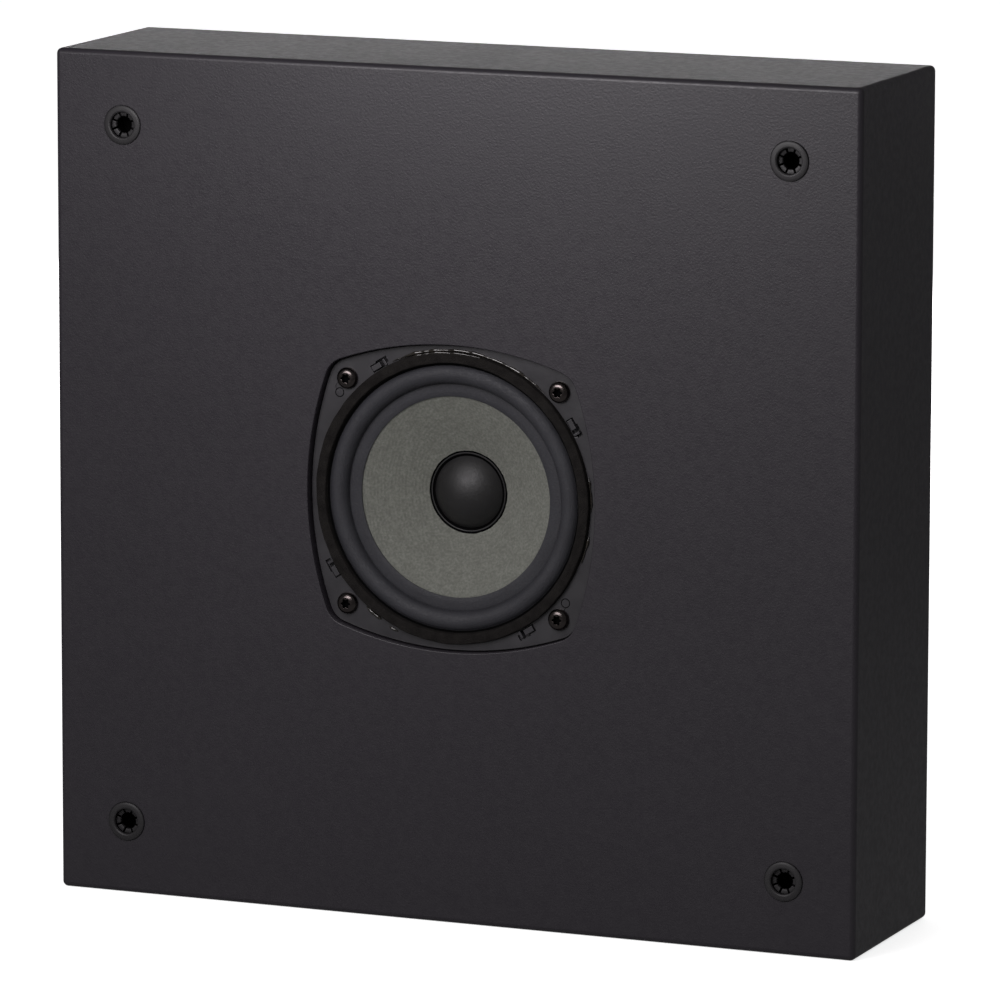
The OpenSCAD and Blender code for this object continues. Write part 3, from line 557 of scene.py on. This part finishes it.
def ferrite():
    f = Finish("ferrite", (0.045, 0.045, 0.05), 0.55, metallic=0.3)
    f.tint(f.noise(1.5, 4, 0.7), (0.075, 0.075, 0.08), 0.8)
    f.rough(f.noise(0.8, 3, 0.6, (1, 6, 1)), 0.4, 0.7)
    f.bump(f.noise(0.5, 4, 0.7, (1, 5, 1)), 0.5, 0.03)
    return f.material


def glue():
    f = Finish("clear_glue", (0.012, 0.0105, 0.009), 0.14, Specular_IOR_Level=0.6,
               Coat_Weight=0.6, Coat_Roughness=0.08)
    f.tint(f.noise(2, 3), (0.024, 0.02, 0.016), 0.7)
    f.bump(f.noise(0.9, 2), 0.35, 0.05)
    return f.material


FINISH = {
    "cabinet_paint": cabinet_paint(),
    "back_paint": back_paint(),
    "socket_plastic": moulded("socket_plastic", (0.0155, 0.0145, 0.0158), 0.44, 0.54, 0.3, 0.02,
                              specular=0.42),
    # Near black, for painted shade in bores, grooves and gaps.
    "painted_shade_black": moulded("painted_shade_black", (0.0012, 0.0012, 0.0013), 0.7, 0.85, 0.5, 0.01,
                           specular=0.03),
    "gasket_foam": foam(),
    "basket_plastic": moulded("basket_plastic", (0.0200, 0.0188, 0.0214), 0.33, 0.42, 0.5, 0.02,
                              specular=0.65, wave=0.3, patches=1.5),
    "surround_rubber": surround_rubber(),
    "cone_fibre": cone_fibre(),
    "dust_cap_coat": cap_coat(),
    "former_aluminium": metal("former_aluminium", (0.62, 0.62, 0.64), 0.3, 0.45, 0.8,
                              (1, 6, 1)),
    "coil_copper": winding("coil_copper", (0.6, 0.27, 0.11), 0.5),
    "spider_cloth": cloth("spider_cloth", (0.5, 0.36, 0.13), 0.7),
    "zinc_steel": metal("zinc_steel", (0.5, 0.5, 0.51), 0.32, 0.5, 0.7),
    "ferrite": ferrite(),
    "tag_board_resin": board(),
    "tinned_brass": metal("tinned_brass", (0.66, 0.63, 0.55), 0.25, 0.42, 0.5),
    "lead_copper": braid("lead_copper", (0.6, 0.33, 0.18), 0.5),
    "black_nickel_screw": metal("black_nickel_screw", (0.12, 0.103, 0.1), 0.17, 0.28, 0.5),
    "cup_plastic": moulded("cup_plastic", (0.0145, 0.0145, 0.015), 0.45, 0.6, 0.28, 0.03),
    "black_zinc_screw": metal("black_zinc_screw", (0.07, 0.068, 0.066), 0.3, 0.48, 0.5),
    "gold_brass": metal("gold_brass", (0.83, 0.6, 0.24), 0.16, 0.28, 0.5, (1, 8, 1), 0.006),
    "red_knob": moulded("red_knob", (0.4, 0.012, 0.014), 0.22, 0.34, 0.5, 0.01, coat=0.2),
    "black_knob": moulded("black_knob", (0.013, 0.013, 0.014), 0.22, 0.34, 0.5, 0.01, coat=0.2),
    "spring_steel": metal("spring_steel", (0.6, 0.6, 0.6), 0.2, 0.3, 0.3),
    "hanger_steel": metal("hanger_steel", (0.52, 0.53, 0.54), 0.3, 0.46, 0.9, (1, 1, 7),
                          0.012),
    "red_wire": moulded("red_wire", (0.42, 0.015, 0.015), 0.35, 0.5, 0.6, 0.01),
    "black_wire": moulded("black_wire", (0.014, 0.014, 0.014), 0.35, 0.5, 0.6, 0.01),
    "wadding_fibre": fibres(),
    "clear_glue": glue(),
}


# Cabinet
def cabinet_shell():
    """The painted box in one skin: eased outside, hollow behind and cut for the driver."""
    window_radius, bore_radius, groove_from, groove_to, groove_deep = 50.5, 5.5, 6.8, 7.2, 0.35
    bpy.ops.object.select_all(action="DESELECT")
    bpy.ops.mesh.primitive_cube_add(size=mm, location=behind(0, 0, -cabinet_depth / 2),
                                    scale=(cabinet_side, cabinet_depth, cabinet_side))
    shell = named("cabinet_shell")
    settle(shell)
    edit(shell, "EDGE")
    bpy.ops.mesh.select_all(action="SELECT")
    bpy.ops.mesh.bevel(offset=cabinet_edge * mm, segments=6, profile=0.5)
    bpy.ops.mesh.select_mode(type="FACE")
    pick("faces", lambda f: f.normal.y > 0.999)
    bpy.ops.mesh.inset(thickness=(wall - rebate - cabinet_edge) * mm)
    bpy.ops.mesh.extrude_region_move(TRANSFORM_OT_translate={"value": (0, -back * mm, 0)})
    bpy.ops.mesh.inset(thickness=rebate * mm)
    hollow = (back + baffle - cabinet_depth) * mm
    bpy.ops.mesh.extrude_region_move(TRANSFORM_OT_translate={"value": (0, hollow, 0)})
    done()
    recess = slab("recess_cutter", bulged_square(0, 40, 12), -recess_deep, 1)
    window = drum("window_cutter", window_radius, -baffle - 1, -recess_deep + 0.5, sides=96)
    bores = [drum("bore_cutter", bore_radius, -baffle - 1, 1, place, 40)
             for place in socket_places]
    groove = [(groove_from, -groove_deep), (groove_to, -groove_deep), (groove_to, 1),
              (groove_from, 1)]
    grooves = [turned("groove_cutter", groove, 48, place) for place in socket_places]
    cut(shell, recess, window, *bores, *grooves)

    def on_recess_rim(edge):
        rim = all(abs(math.hypot(v.co.x, v.co.z) / mm - 57) < 10 for v in edge.verts)
        return (rim and abs(middle(edge).y + cabinet_depth) < 0.01
                and len(edge.link_faces) == 2
                and any(abs(f.normal.y) < 0.1 for f in edge.link_faces))
    edit(shell, "EDGE")
    pick("edges", on_recess_rim)
    bpy.ops.mesh.bevel(offset=0.35 * mm, segments=3, profile=0.5)
    bpy.ops.mesh.select_all(action="SELECT")
    bpy.ops.mesh.fill_holes(sides=4)
    done()
    smooth(shell, 35, weighted=True)
    placed(shell, "cabinet", "cabinet_paint", "front_baffle", "top_panel", "bottom_panel",
           "left_panel", "right_panel")


def grille_sockets():
    """Moulded push-in sockets: a low flange, a plain bore and eight springy petals inside. The
    bore below the petals is painted near black, as shade.
    """
    flange, bore, deep, petal_tip, slot_half = 7, 4.5, -11.5, 3.0, 0.38
    body = eased([(0, deep, 0), (5.45, deep, 0.3), (5.45, 0, 0), (flange, 0, 0),
                  (flange, 0.5, 0.25), (6.3, 0.74, 0.3), (5.1, 0.84, 0.2), (4.68, 0.6, 0.12),
                  (bore, 0.1, 0.2), (bore, deep + 1, 0.3), (0, deep + 1, 0)])
    socket = turned("socket_model", body, 72)
    petal = eased([(petal_tip, -1.35, 0.14), (3.25, -1.15, 0.12), (4.6, -0.95, 0),
                   (4.6, -2.6, 0), (petal_tip, -2.5, 0.1)])
    petals = turned("petal_ring", petal, 64)
    box = [(-6, -slot_half), (6, -slot_half), (6, slot_half), (-6, slot_half)]
    cut(petals, *[slab("slot_cutter", turned_by(box, math.pi * (i + 0.5) / 4), -3, 0.5)
                  for i in range(4)])
    round_sharp(petals, 0.1, 50)
    model = joined("socket_model", [socket, petals])
    smooth(model, 40)
    for name, x, z in (("tl", -1, 1), ("tr", 1, 1), ("bl", -1, -1), ("br", 1, -1)):
        shift = (x * socket_place, 0, z * socket_place)
        twin = copy_of(model, "socket_" + name, shift)
        placed(twin, "cabinet", "socket_plastic", "grille_socket_" + name)
        # Painted shade: the bore below the petals, in near black.
        paint_shade_where(twin, lambda x, up, out: out < -2.7)
    bpy.data.objects.remove(model)


# Driver
def tilted_box(name, angle, along, across, low, high):
    """A block at a pocket, with its ends along the pocket's circle and across it."""
    corners = [(pocket_place + across[0], along[0]), (pocket_place + across[1], along[0]),
               (pocket_place + across[1], along[1]), (pocket_place + across[0], along[1])]
    return slab(name, turned_by(corners, math.radians(angle)), low, high)


def driver_frame():
    """The moulding, with a hook in each of its four pockets and the ejector pins' marks, whose
    ring grooves are painted near black as shade.
    """
    piece = eased_copy("basket", "driver_frame", 0.3)
    top, low = flange_front, flange_front - pocket_deep
    pins = ((-43.5, 35), (42.8, -34.4), (-44, -29))
    mark_from, mark_to, mark_deep = 1.4, 1.72, 0.35
    pockets = [tilted_box("pocket_cutter", a, (-3.3, 3.1), (-1.4, 1.45), low, top + 1)
               for a in pocket_turns]
    ring = [(mark_from, top - mark_deep), (mark_to, top - mark_deep), (mark_to, top + 0.5),
            (mark_from, top + 0.5)]
    marks = [turned("mark_cutter", ring, 32, place) for place in pins]
    cut(piece, *pockets, *marks)
    piece.data.materials.clear()
    piece.data.materials.append(FINISH["basket_plastic"])

    def in_a_mark(x, up, out):
        away = min(math.hypot(x - a, up - b) for a, b in pins)
        return 0.02 < top - out < 0.6 and mark_from - 0.02 < away < mark_to + 0.02
    # Painted shade: the ring grooves of the ejector pins' marks, in near black.
    paint_shade_where(piece, in_a_mark)
    hooks = []
    for a in pocket_turns:
        hooks.append(tilted_box("hook_block", a, (-1.1, 2.7), (-1.0, 1.0), low, top + 0.75))
        hooks.append(tilted_box("hook_lip", a, (-3.25, -2.3), (-1.35, 1.25), low, top + 0.6))
    for hook in hooks:
        round_sharp(hook, 0.22, 40, 3)
        hook.data.materials.append(FINISH["basket_plastic"])
    smooth(piece, 40, weighted=True)
    piece = joined("driver_frame", [piece, *hooks])
    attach(piece, "cabinet")
    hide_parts("basket")


def glue_line(turn_from, turn_to, radius, thick, height, seed):
    """A run of clear glue on the flange, from one angle in degrees to another. It is uneven
    in width and height."""
    count = int(abs(turn_to - turn_from) * 1.6)
    line, swell = [], []
    for i in range(count + 1):
        t = i / count
        a = math.radians(turn_from + (turn_to - turn_from) * t)
        wave = (math.sin(a * 41 + seed) * 0.45 + math.sin(a * 17 + 2 * seed) * 0.4
                + math.sin(a * 89 + seed) * 0.25)
        r = radius + 0.13 * wave
        line.append(front(r * math.cos(a), r * math.sin(a), height + 0.1 * wave))
        swell.append((0.8 + 0.28 * wave) * min(1, 6 * t + 0.15, 6 * (1 - t) + 0.15))
    return line, [max(0.12, w) * thick for w in swell]


def glue_runs():
    """Glue that was pressed out round the foam, as (from, to, radius, thick, height)."""
    beads = ((116, 49, 52.65, 0.62, -2.6), (109, 78, 51.85, 0.42, -1.35),
             (231, 239, 52.9, 0.7, -2.95), (243, 247, 53.6, 0.6, -2.95),
             (-22, -11, 52.6, 0.55, -2.7), (-2, 12, 52.5, 0.4, -2.8))
    runs = [glue_line(*bead, float(i + 1)) for i, bead in enumerate(beads)]
    piece = strand("glue_bead", [line for line, _ in runs], 1.0, [swell for _, swell in runs])
    placed(piece, "cabinet", "basket_plastic", "front_gasket", finish="clear_glue")


def foam_ring():
    """The foam, with sagging edges, and its inner faces by the surround's roll painted near black,
    as shade in the gap between them.
    """
    inner, outer, top, gap = 47.25, 52.1, -0.95, 47.8
    section = eased([(inner, -3, 0), (outer, -3, 0), (outer, top, 0.55), (48.15, top, 0.5),
                     (48.0, -2.8, 0), (inner, -2.85, 0)], 4)
    ring = turned("foam_ring", section, 180)
    for v in ring.data.vertices:
        a = math.atan2(v.co.z, v.co.x)
        sag = 0.09 * math.sin(7 * a + 1) + 0.07 * math.sin(19 * a) + 0.05 * math.sin(43 * a + 2)
        if v.co.y < front(0, 0, -2.6).y:
            r = math.hypot(v.co.x, v.co.z)
            k = 1 + (sag - 0.2) * mm / r * (1 if r > 50.5 * mm else -0.6)
            v.co.x *= k
            v.co.z *= k
    smooth(ring, 50)
    placed(ring, "cabinet", "gasket_foam", "front_gasket")
    # Painted shade: the foam's faces inside the gap radius, in near black.
    paint_shade_where(ring, lambda x, up, out: math.hypot(x, up) < gap)


def surround_section():
    """Rubber half a millimetre thick: the land on the cone, the roll, the rim under the foam."""
    roll, high, low = (44.1, -4.6), 3.45, 2.95
    foot, rim, under_rim, under_foot = (math.degrees(math.asin(rise / radius)) for rise, radius
                                        in ((-0.4, high), (1.6, high), (1.1, low), (0.9, low)))
    top = [(35.9, -5.5), (35.9, -5.12), (36.05, -5.0), (38, -5.0), (39.6, -5.0),
           (40.25, -5.03), (40.55, -5.1)]
    top += arc(roll, high, 180 - foot, rim, 26)[1:]
    top += [(47.5, -3.0), (49, -3.0), (51.4, -3.0), (51.4, -3.5), (49, -3.5)]
    return top + arc(roll, low, under_rim, 180 + under_foot, 18) + [(39, -5.5)]


def sectors(name, section, count, steps, node):
    """A turned soft ring in equal sectors. Each takes the ring's normals, so that no seam shows."""
    whole = turned(name, section, count * steps)
    smooth(whole, 50)
    half = math.pi / count
    for i in range(count):
        way = 2 * half * (i + 0.5)
        part = copy_of(whole, f"{name}_{i + 1:02d}")
        edit(part)

        def outside(face, way=way):
            m = middle(face)
            turn = (math.atan2(m.z, m.x) - way + math.pi) % (2 * math.pi) - math.pi
            return abs(turn) > half
        pick("faces", outside)
        bpy.ops.mesh.delete(type="FACE")
        done()
        modify(part, "DATA_TRANSFER", object=whole, use_loop_data=True,
               data_types_loops={"CUSTOM_NORMAL"}, loop_mapping="NEAREST_POLYNOR")
        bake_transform(part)
        placed(part, None, name, node)
    bpy.data.objects.remove(whole)


def cone_body():
    thick, run = 0.66, cone_edge - cone_neck
    face = [(cone_neck + run * i / 12, cone_deep + cone_rise * i / 12) for i in range(13)]
    back_face = [(r + 0.28, h - thick) for r, h in reversed(face[1:])]
    neck = [(13.55, -18.76), (13.55, -20.5), (cone_neck, -20.5)]
    section = face + [(40.5, -5.52), (40.5, -6.1)] + back_face + neck
    cone = turned("cone_body", section, 160)
    smooth(cone, 30)
    placed(cone, "cone_assembly", "cone_fibre", "cone")


def dust_cap():
    """The cap's dome and its lip, with the groove between them painted near black as shade, and
    the uneven seam where the lip is glued down, in near black: a dark glue seam darkened further
    as painted shade.
    """
    rise, thick, lift = 6.4, 0.5, 0.5
    ball = (cone_neck ** 2 + rise ** 2) / (2 * rise)
    top = cone_deep + lift + rise
    edge = math.degrees(math.asin(cone_neck / ball))
    dome = arc((0, top - ball), ball, 90, 90 - edge + 0.6, 20)
    inside = arc((0, top - ball), ball - thick, 90 - edge + 2, 90, 14)
    dome[0], inside[-1] = (0, dome[0][1]), (0, inside[-1][1])
    lip = eased([(13.0, -17.62, 0), (13.6, -17.5, 0.08), (13.78, -17.0, 0.1),
                 (14.15, -16.95, 0.12), (14.3, -17.35, 0), (13.3, -17.95, 0)])
    cap = turned("dust_cap_body", dome + lip + inside, 96)
    smooth(cap, 40)
    placed(cap, "cone_assembly", "dust_cap_coat", "dust_cap")
    # Painted shade: the groove between the dome and the lip, in near black.
    paint_shade_where(cap, lambda x, up, out: 12.9 < math.hypot(x, up) < 13.9 and -17.9 < out < -17.12)

    section = [(r, on_cone(r) + up) for r, up in ((13.9, -0.1), (14.85, -0.1), (14.8, 0.08),
                                                  (14.55, 0.2), (13.9, 0.24))]
    seam = turned("dust_cap_seam", section, 120)
    for v in seam.data.vertices:
        a, r = math.atan2(v.co.z, v.co.x), math.hypot(v.co.x, v.co.z) / mm
        if r > 14.5:
            ragged = (0.05 * math.sin(31 * a) + 0.07 * math.sin(13 * a + 2)
                      + 0.04 * math.sin(57 * a) + 0.3 * max(0, math.sin(a + 0.9 - math.pi)))
            v.co.x *= 1 + ragged / r
            v.co.z *= 1 + ragged / r
    smooth(seam, 50)
    # The seam is dark glue, darkened further to near black as painted shade under the cap's edge.
    placed(seam, "cone_assembly", "dust_cap_coat", "dust_cap", finish="painted_shade_black")


def driver_screws():
    """Pan heads with a six-lobed socket, over plain shanks. The socket's inside is painted near
    black, as shade.
    """
    base, top, shank, length, radius = flange_front, flange_front + 2.4, 1.75, 11, 3.9
    profile = eased([(0, base - length, 0), (shank, base - length, 0.4), (shank, base, 0),
                     (radius, base, 0.12), (radius, base + 0.7, 0.3), (3.6, base + 1.5, 0.5),
                     (2.75, base + 2.25, 0.4), (2.1, top, 0.2), (0, top, 0)], 4)
    screw = turned("screw_model", profile, 48)
    turns = [math.pi * i / 18 for i in range(36)]
    lobes = [(r * math.cos(a), r * math.sin(a))
             for a, r in ((a, 1.58 + 0.3 * math.cos(6 * a)) for a in turns)]
    cut(screw, slab("lobe_cutter", lobes, base + 0.5, base + 4))
    round_sharp(screw, 0.1, 50)
    smooth(screw, 40)
    screw.data.materials.append(FINISH["black_nickel_screw"])
    # Painted shade: the inside of the six-lobed socket, in near black.
    paint_shade_where(screw, lambda x, up, out: math.hypot(x, up) < 1.9 and base < out < base + 2.2)
    twins = [copy_of(screw, "screw_copy", (x * driver_screw_place, 0, z * driver_screw_place))
             for x in (-1, 1) for z in (-1, 1)]
    bpy.data.objects.remove(screw)
    piece = joined("driver_screw_set", twins)
    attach(piece, "cabinet")
    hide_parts("driver_screws")


def through(points, steps=6):
    """Points in metres on a smooth curve through the given ones."""
    made = []
    for i in range(len(points) - 1):
        a, b, c, d = (points[max(min(i + k, len(points) - 1), 0)] for k in (-1, 0, 1, 2))
        for s in range(steps):
            t = s / steps
            made.append(0.5 * (2 * b + (c - a) * t + (2 * a - 5 * b + 4 * c - d) * t * t
                               + (3 * b - a - 3 * c + d) * t ** 3))
    return made + [points[-1]]


def strand(name, lines, radius, swells=None):
    """A round wire along each line of points. swells gives its thickness at each point."""
    curve = bpy.data.curves.new(name, "CURVE")
    curve.dimensions = "3D"
    curve.bevel_depth = radius * mm
    curve.bevel_resolution = 3
    curve.use_fill_caps = True
    for i, line in enumerate(lines):
        spline = curve.splines.new("POLY")
        spline.points.add(len(line) - 1)
        for k, (point, place) in enumerate(zip(spline.points, line)):
            point.co = (*place, 1)
            point.radius = swells[i][k] if swells else 1
    piece = bpy.data.objects.new(name, curve)
    bpy.context.scene.collection.objects.link(piece)
    work_on(piece)
    bpy.ops.object.convert(target="MESH")
    piece = named(name)
    clean(piece)
    smooth(piece, 50)
    return piece


def leads_and_wires():
    board_top = spider_ledge - 0.5 + board_thick
    under_cone = on_cone(19) - 0.84 - 0.5 - 0.3
    droop = ((5, lead_height, under_cone), (5.3, -23, under_cone - 2.2),
             (5.7, -27, under_cone - 1.2), (5.9, -33, under_cone + 0.4),
             (6, -38.5, board_top + 3.5), (6, -42.5 + 0.4 + 0.5, board_top + 0.6))
    lines = [through([front(side * x, up, out) for x, up, out in droop]) for side in (-1, 1)]
    leads = strand("flexible_lead_pair", lines, 0.5)
    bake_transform(leads)
    placed(leads, None, "lead_copper", "flexible_leads")

    lug_end, lug_back = cup_height - 4 + 17, -cup_floor + 2.8
    tag_back = cabinet_depth + (board_top + 1 - 14.5) - 0.8
    loop = ((0, 1.1, -3), (3, 5, 1), (16, 9, -3), (29, 11, -14), (40, 12, -8), (39, 11, 6),
            (25, 8, 14), (8, 4.5, 17))
    route = [(post_place + x, lug_back + y, lug_end + z) for x, y, z in loop]
    route += [(9, tag_back - 7, -48), (6, tag_back - 3.6, -42.5), (6, tag_back - 1.8, -42.5),
              (6, tag_back - 0.05, -42.5)]
    for side, name, slot in ((1, "wire_plus", "red_wire"), (-1, "wire_minus", "black_wire")):
        line = through([Vector((side * x, -y, z)) * mm for x, y, z in route])
        placed(strand("insulated_" + name, [line], 1.1), "cabinet", slot, name)


def spider_section():
    """Cloth half a millimetre thick with round waves, from the coil former to its ledge."""
    inner, outer, level, half = 12.95, 32.7, spider_ledge + 0.25, 0.25
    first, last, waves, tall = 14.95, 28.0, 4, 1.35
    count = waves * 16
    line = [(inner, level)]
    line += [(first + (last - first) * i / count,
              level + tall * math.sin(2 * math.pi * waves * i / count))
             for i in range(count + 1)]
    line += [(30, level), (outer, level)]
    return [(r, h + half) for r, h in line] + [(r, h - half) for r, h in reversed(line)]


def springs():
    low, high = cup_floor + 2.5 + 0.4, cup_floor + 7.5 + 3.5 - 0.4
    turns, steps, radius, wire = 4, 20, 3.95, 0.35
    count = turns * steps
    for side, name in ((-1, "plus"), (1, "minus")):
        line = [behind(side * post_place + radius * math.cos(a), cup_height + radius * math.sin(a),
                       low + (high - low) * i / count)
                for i, a in ((i, 2 * math.pi * i / steps) for i in range(count + 1))]
        piece = strand("coil_spring_" + name, [line], wire)
        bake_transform(piece)
        placed(piece, None, "spring_steel", "terminal_spring_" + name)


def wadding():
    """A loose fibre pad: remeshed, then raised and sunk by two sizes of lumps."""
    pad = copy_of(frame["nodes"]["damping_wadding"], "fibre_pad")
    clean(pad)
    modify(pad, "REMESH", mode="VOXEL", voxel_size=4 * mm)
    for size, strength in ((28, 3.0), (9, 1.6)):
        lumps = bpy.data.textures.new("lumps", "CLOUDS")
        lumps.noise_scale = size * mm
        modify(pad, "DISPLACE", texture=lumps, strength=strength * mm, mid_level=0.95,
               texture_coords="LOCAL")
    work_on(pad)
    bpy.ops.object.shade_smooth()
    placed(pad, "cabinet", "wadding_fibre", "damping_wadding")


for build in (cabinet_shell, grille_sockets, driver_frame, foam_ring, glue_runs):
    build()
sectors("surround_rubber", surround_section(), 24, 10, "surround")
sectors("spider_cloth", spider_section(), 12, 12, "spider")
for build in (cone_body, dust_cap, driver_screws, leads_and_wires, springs, wadding):
    build()

# Pieces whose CAD form is kept, with the width in millimetres of their eased edges
for node, width in (("terminal_cup", 0.5), ("terminal_knob_plus", 0.35),
                    ("terminal_knob_minus", 0.35), ("terminal_post_plus", 0.2),
                    ("terminal_post_minus", 0.2), ("hanger_left", 0.2), ("hanger_right", 0.2),
                    ("cup_screws", 0.12), ("hanger_screws", 0.12), ("terminal_nuts", 0.2),
                    ("top_plate", 0.4), ("yoke", 0.4), ("magnet", 0.5), ("back_panel", 0.4),
                    ("tag_board", 0.15), ("wire_connectors", 0.15)):
    slot_name = next(s["material_slot"] for s in frame["record"]["subparts"] if s["node"] == node)
    bodies = frame["record"]["behaviour"]["bodies"]
    body_name = next(b for b, members in bodies.items() if node in members)
    placed(eased_copy(node, node + "_eased", width), body_name, slot_name, node)

for entry in frame["record"]["subparts"]:
    thing = frame["nodes"][entry["node"]]
    thing.data.materials.clear()
    thing.data.materials.append(FINISH[entry["material_slot"]])


# Camera, floor and light
# Fitted to the cabinet's corners, the sockets and the driver in the photo
camera_turn = [math.radians(angle) for angle in (80.172, -0.128, 22.595)]
bpy.ops.object.camera_add(location=(1.0429, -2.5388, 0.4632), rotation=camera_turn)
camera = bpy.context.object
camera.data.sensor_width = 36
camera.data.lens = 278.2
camera.data.clip_end = 100
bpy.context.scene.camera = camera


def lamp(name, place, target, width, height, power):
    bpy.ops.object.light_add(type="AREA", location=place)
    light = named(name)
    light.data.shape = "RECTANGLE"
    light.data.size, light.data.size_y = width, height
    light.data.energy = power
    light.data.color = warm
    light.visible_camera = False
    way = Vector(target) - light.location
    light.rotation_euler = way.to_track_quat("-Z", "Y").to_euler()


warm = (1.0, 0.965, 0.99)
lamp("softbox_front", (-0.40, -1.40, 0.45), (0, -0.07, 0), 0.60, 0.40, 4.7)
lamp("softbox_near", (-0.05, -0.30, 0.20), (0, -0.07, 0.05), 0.20, 0.12, 0.32)
lamp("softbox_above", (0, -0.50, 0.30), (0, -0.07, 0.05), 0.30, 0.20, 0.47)
lamp("strip_behind", (-0.40, 1.50, 0.10), (0, -0.07, 0), 1.2, 0.3, 11.3)
lamp("softbox_back", (-0.15, 1.10, 0.0), (0, 0, 0), 0.4, 0.22, 2.2)

# How bright the paper and the room are to the camera, to soft light and to what is shiny
paper_seen, paper_soft, paper_shiny = 0.72, 0.75, 0.05
room_soft, room_shiny = 0.4, 0.092
floor_level, sheet_from, sheet_to = -0.15255, 0.35, 0.75


def studio_floor():
    """White paper. The camera sees it white to the horizon, with the shadow on it. What is
    shiny sees the sheet that the object stands on, and past its edge the dim room."""
    bpy.ops.mesh.primitive_plane_add(size=12, location=(0, 0, floor_level))
    floor = named("studio_floor")
    settle(floor)
    paper = bpy.data.materials.new("white_paper")
    paper.use_nodes = True
    tree = paper.node_tree
    tree.nodes.clear()
    out = tree.nodes.new("ShaderNodeOutputMaterial")
    path = tree.nodes.new("ShaderNodeLightPath")
    away = tree.nodes.new("ShaderNodeVectorMath")
    away.operation = "LENGTH"
    place = tree.nodes.new("ShaderNodeTexCoord")
    tree.links.new(place.outputs["Object"], away.inputs[0])
    near = map_range(tree, away.outputs["Value"], sheet_from, sheet_to, 1.0, 0.0)
    shiny = path.outputs["Is Glossy Ray"]
    seen = math_node(tree, "MAXIMUM", path.outputs["Is Camera Ray"],
                     path.outputs["Is Transmission Ray"])
    not_shiny = math_node(tree, "SUBTRACT", 1.0, shiny)
    soft = math_node(tree, "MULTIPLY", paper_soft, not_shiny)
    level = math_node(tree, "MAXIMUM", soft, math_node(tree, "MULTIPLY", seen, 0.8))
    tint = tree.nodes.new("ShaderNodeCombineColor")
    for socket in tint.inputs[:3]:
        tree.links.new(level, socket)
    plain = tree.nodes.new("ShaderNodeBsdfDiffuse")
    bright = tree.nodes.new("ShaderNodeEmission")
    both = tree.nodes.new("ShaderNodeAddShader")
    sheet = math_node(tree, "ADD", room_shiny, math_node(tree, "MULTIPLY", near, paper_shiny))
    glow = math_node(tree, "MULTIPLY", shiny, sheet)
    strength = math_node(tree, "MAXIMUM", glow, math_node(tree, "MULTIPLY", seen, paper_seen))
    for a, b in ((tint.outputs[0], plain.inputs["Color"]), (strength, bright.inputs["Strength"]),
                 (plain.outputs[0], both.inputs[0]), (bright.outputs[0], both.inputs[1]),
                 (both.outputs[0], out.inputs[0])):
        tree.links.new(a, b)
    floor.data.materials.append(paper)


def studio_room():
    """White to the camera, pale to soft light, dim to what is shiny."""
    world = bpy.data.worlds.new("studio")
    bpy.context.scene.world = world
    world.use_nodes = True
    tree = world.node_tree
    sky = tree.nodes["Background"]
    path = tree.nodes.new("ShaderNodeLightPath")
    seen = math_node(tree, "MAXIMUM", path.outputs["Is Camera Ray"],
                     path.outputs["Is Transmission Ray"])
    shiny = math_node(tree, "MULTIPLY", path.outputs["Is Glossy Ray"], room_shiny - room_soft)
    level = math_node(tree, "ADD", room_soft, shiny)
    level = math_node(tree, "ADD", level, math_node(tree, "MULTIPLY", seen, 1 - room_soft))
    tree.links.new(level, sky.inputs["Strength"])
    sky.inputs["Color"].default_value = (1, 1, 1, 1)


studio_floor()
studio_room()

bpy.context.scene.view_settings.view_transform = "Standard"
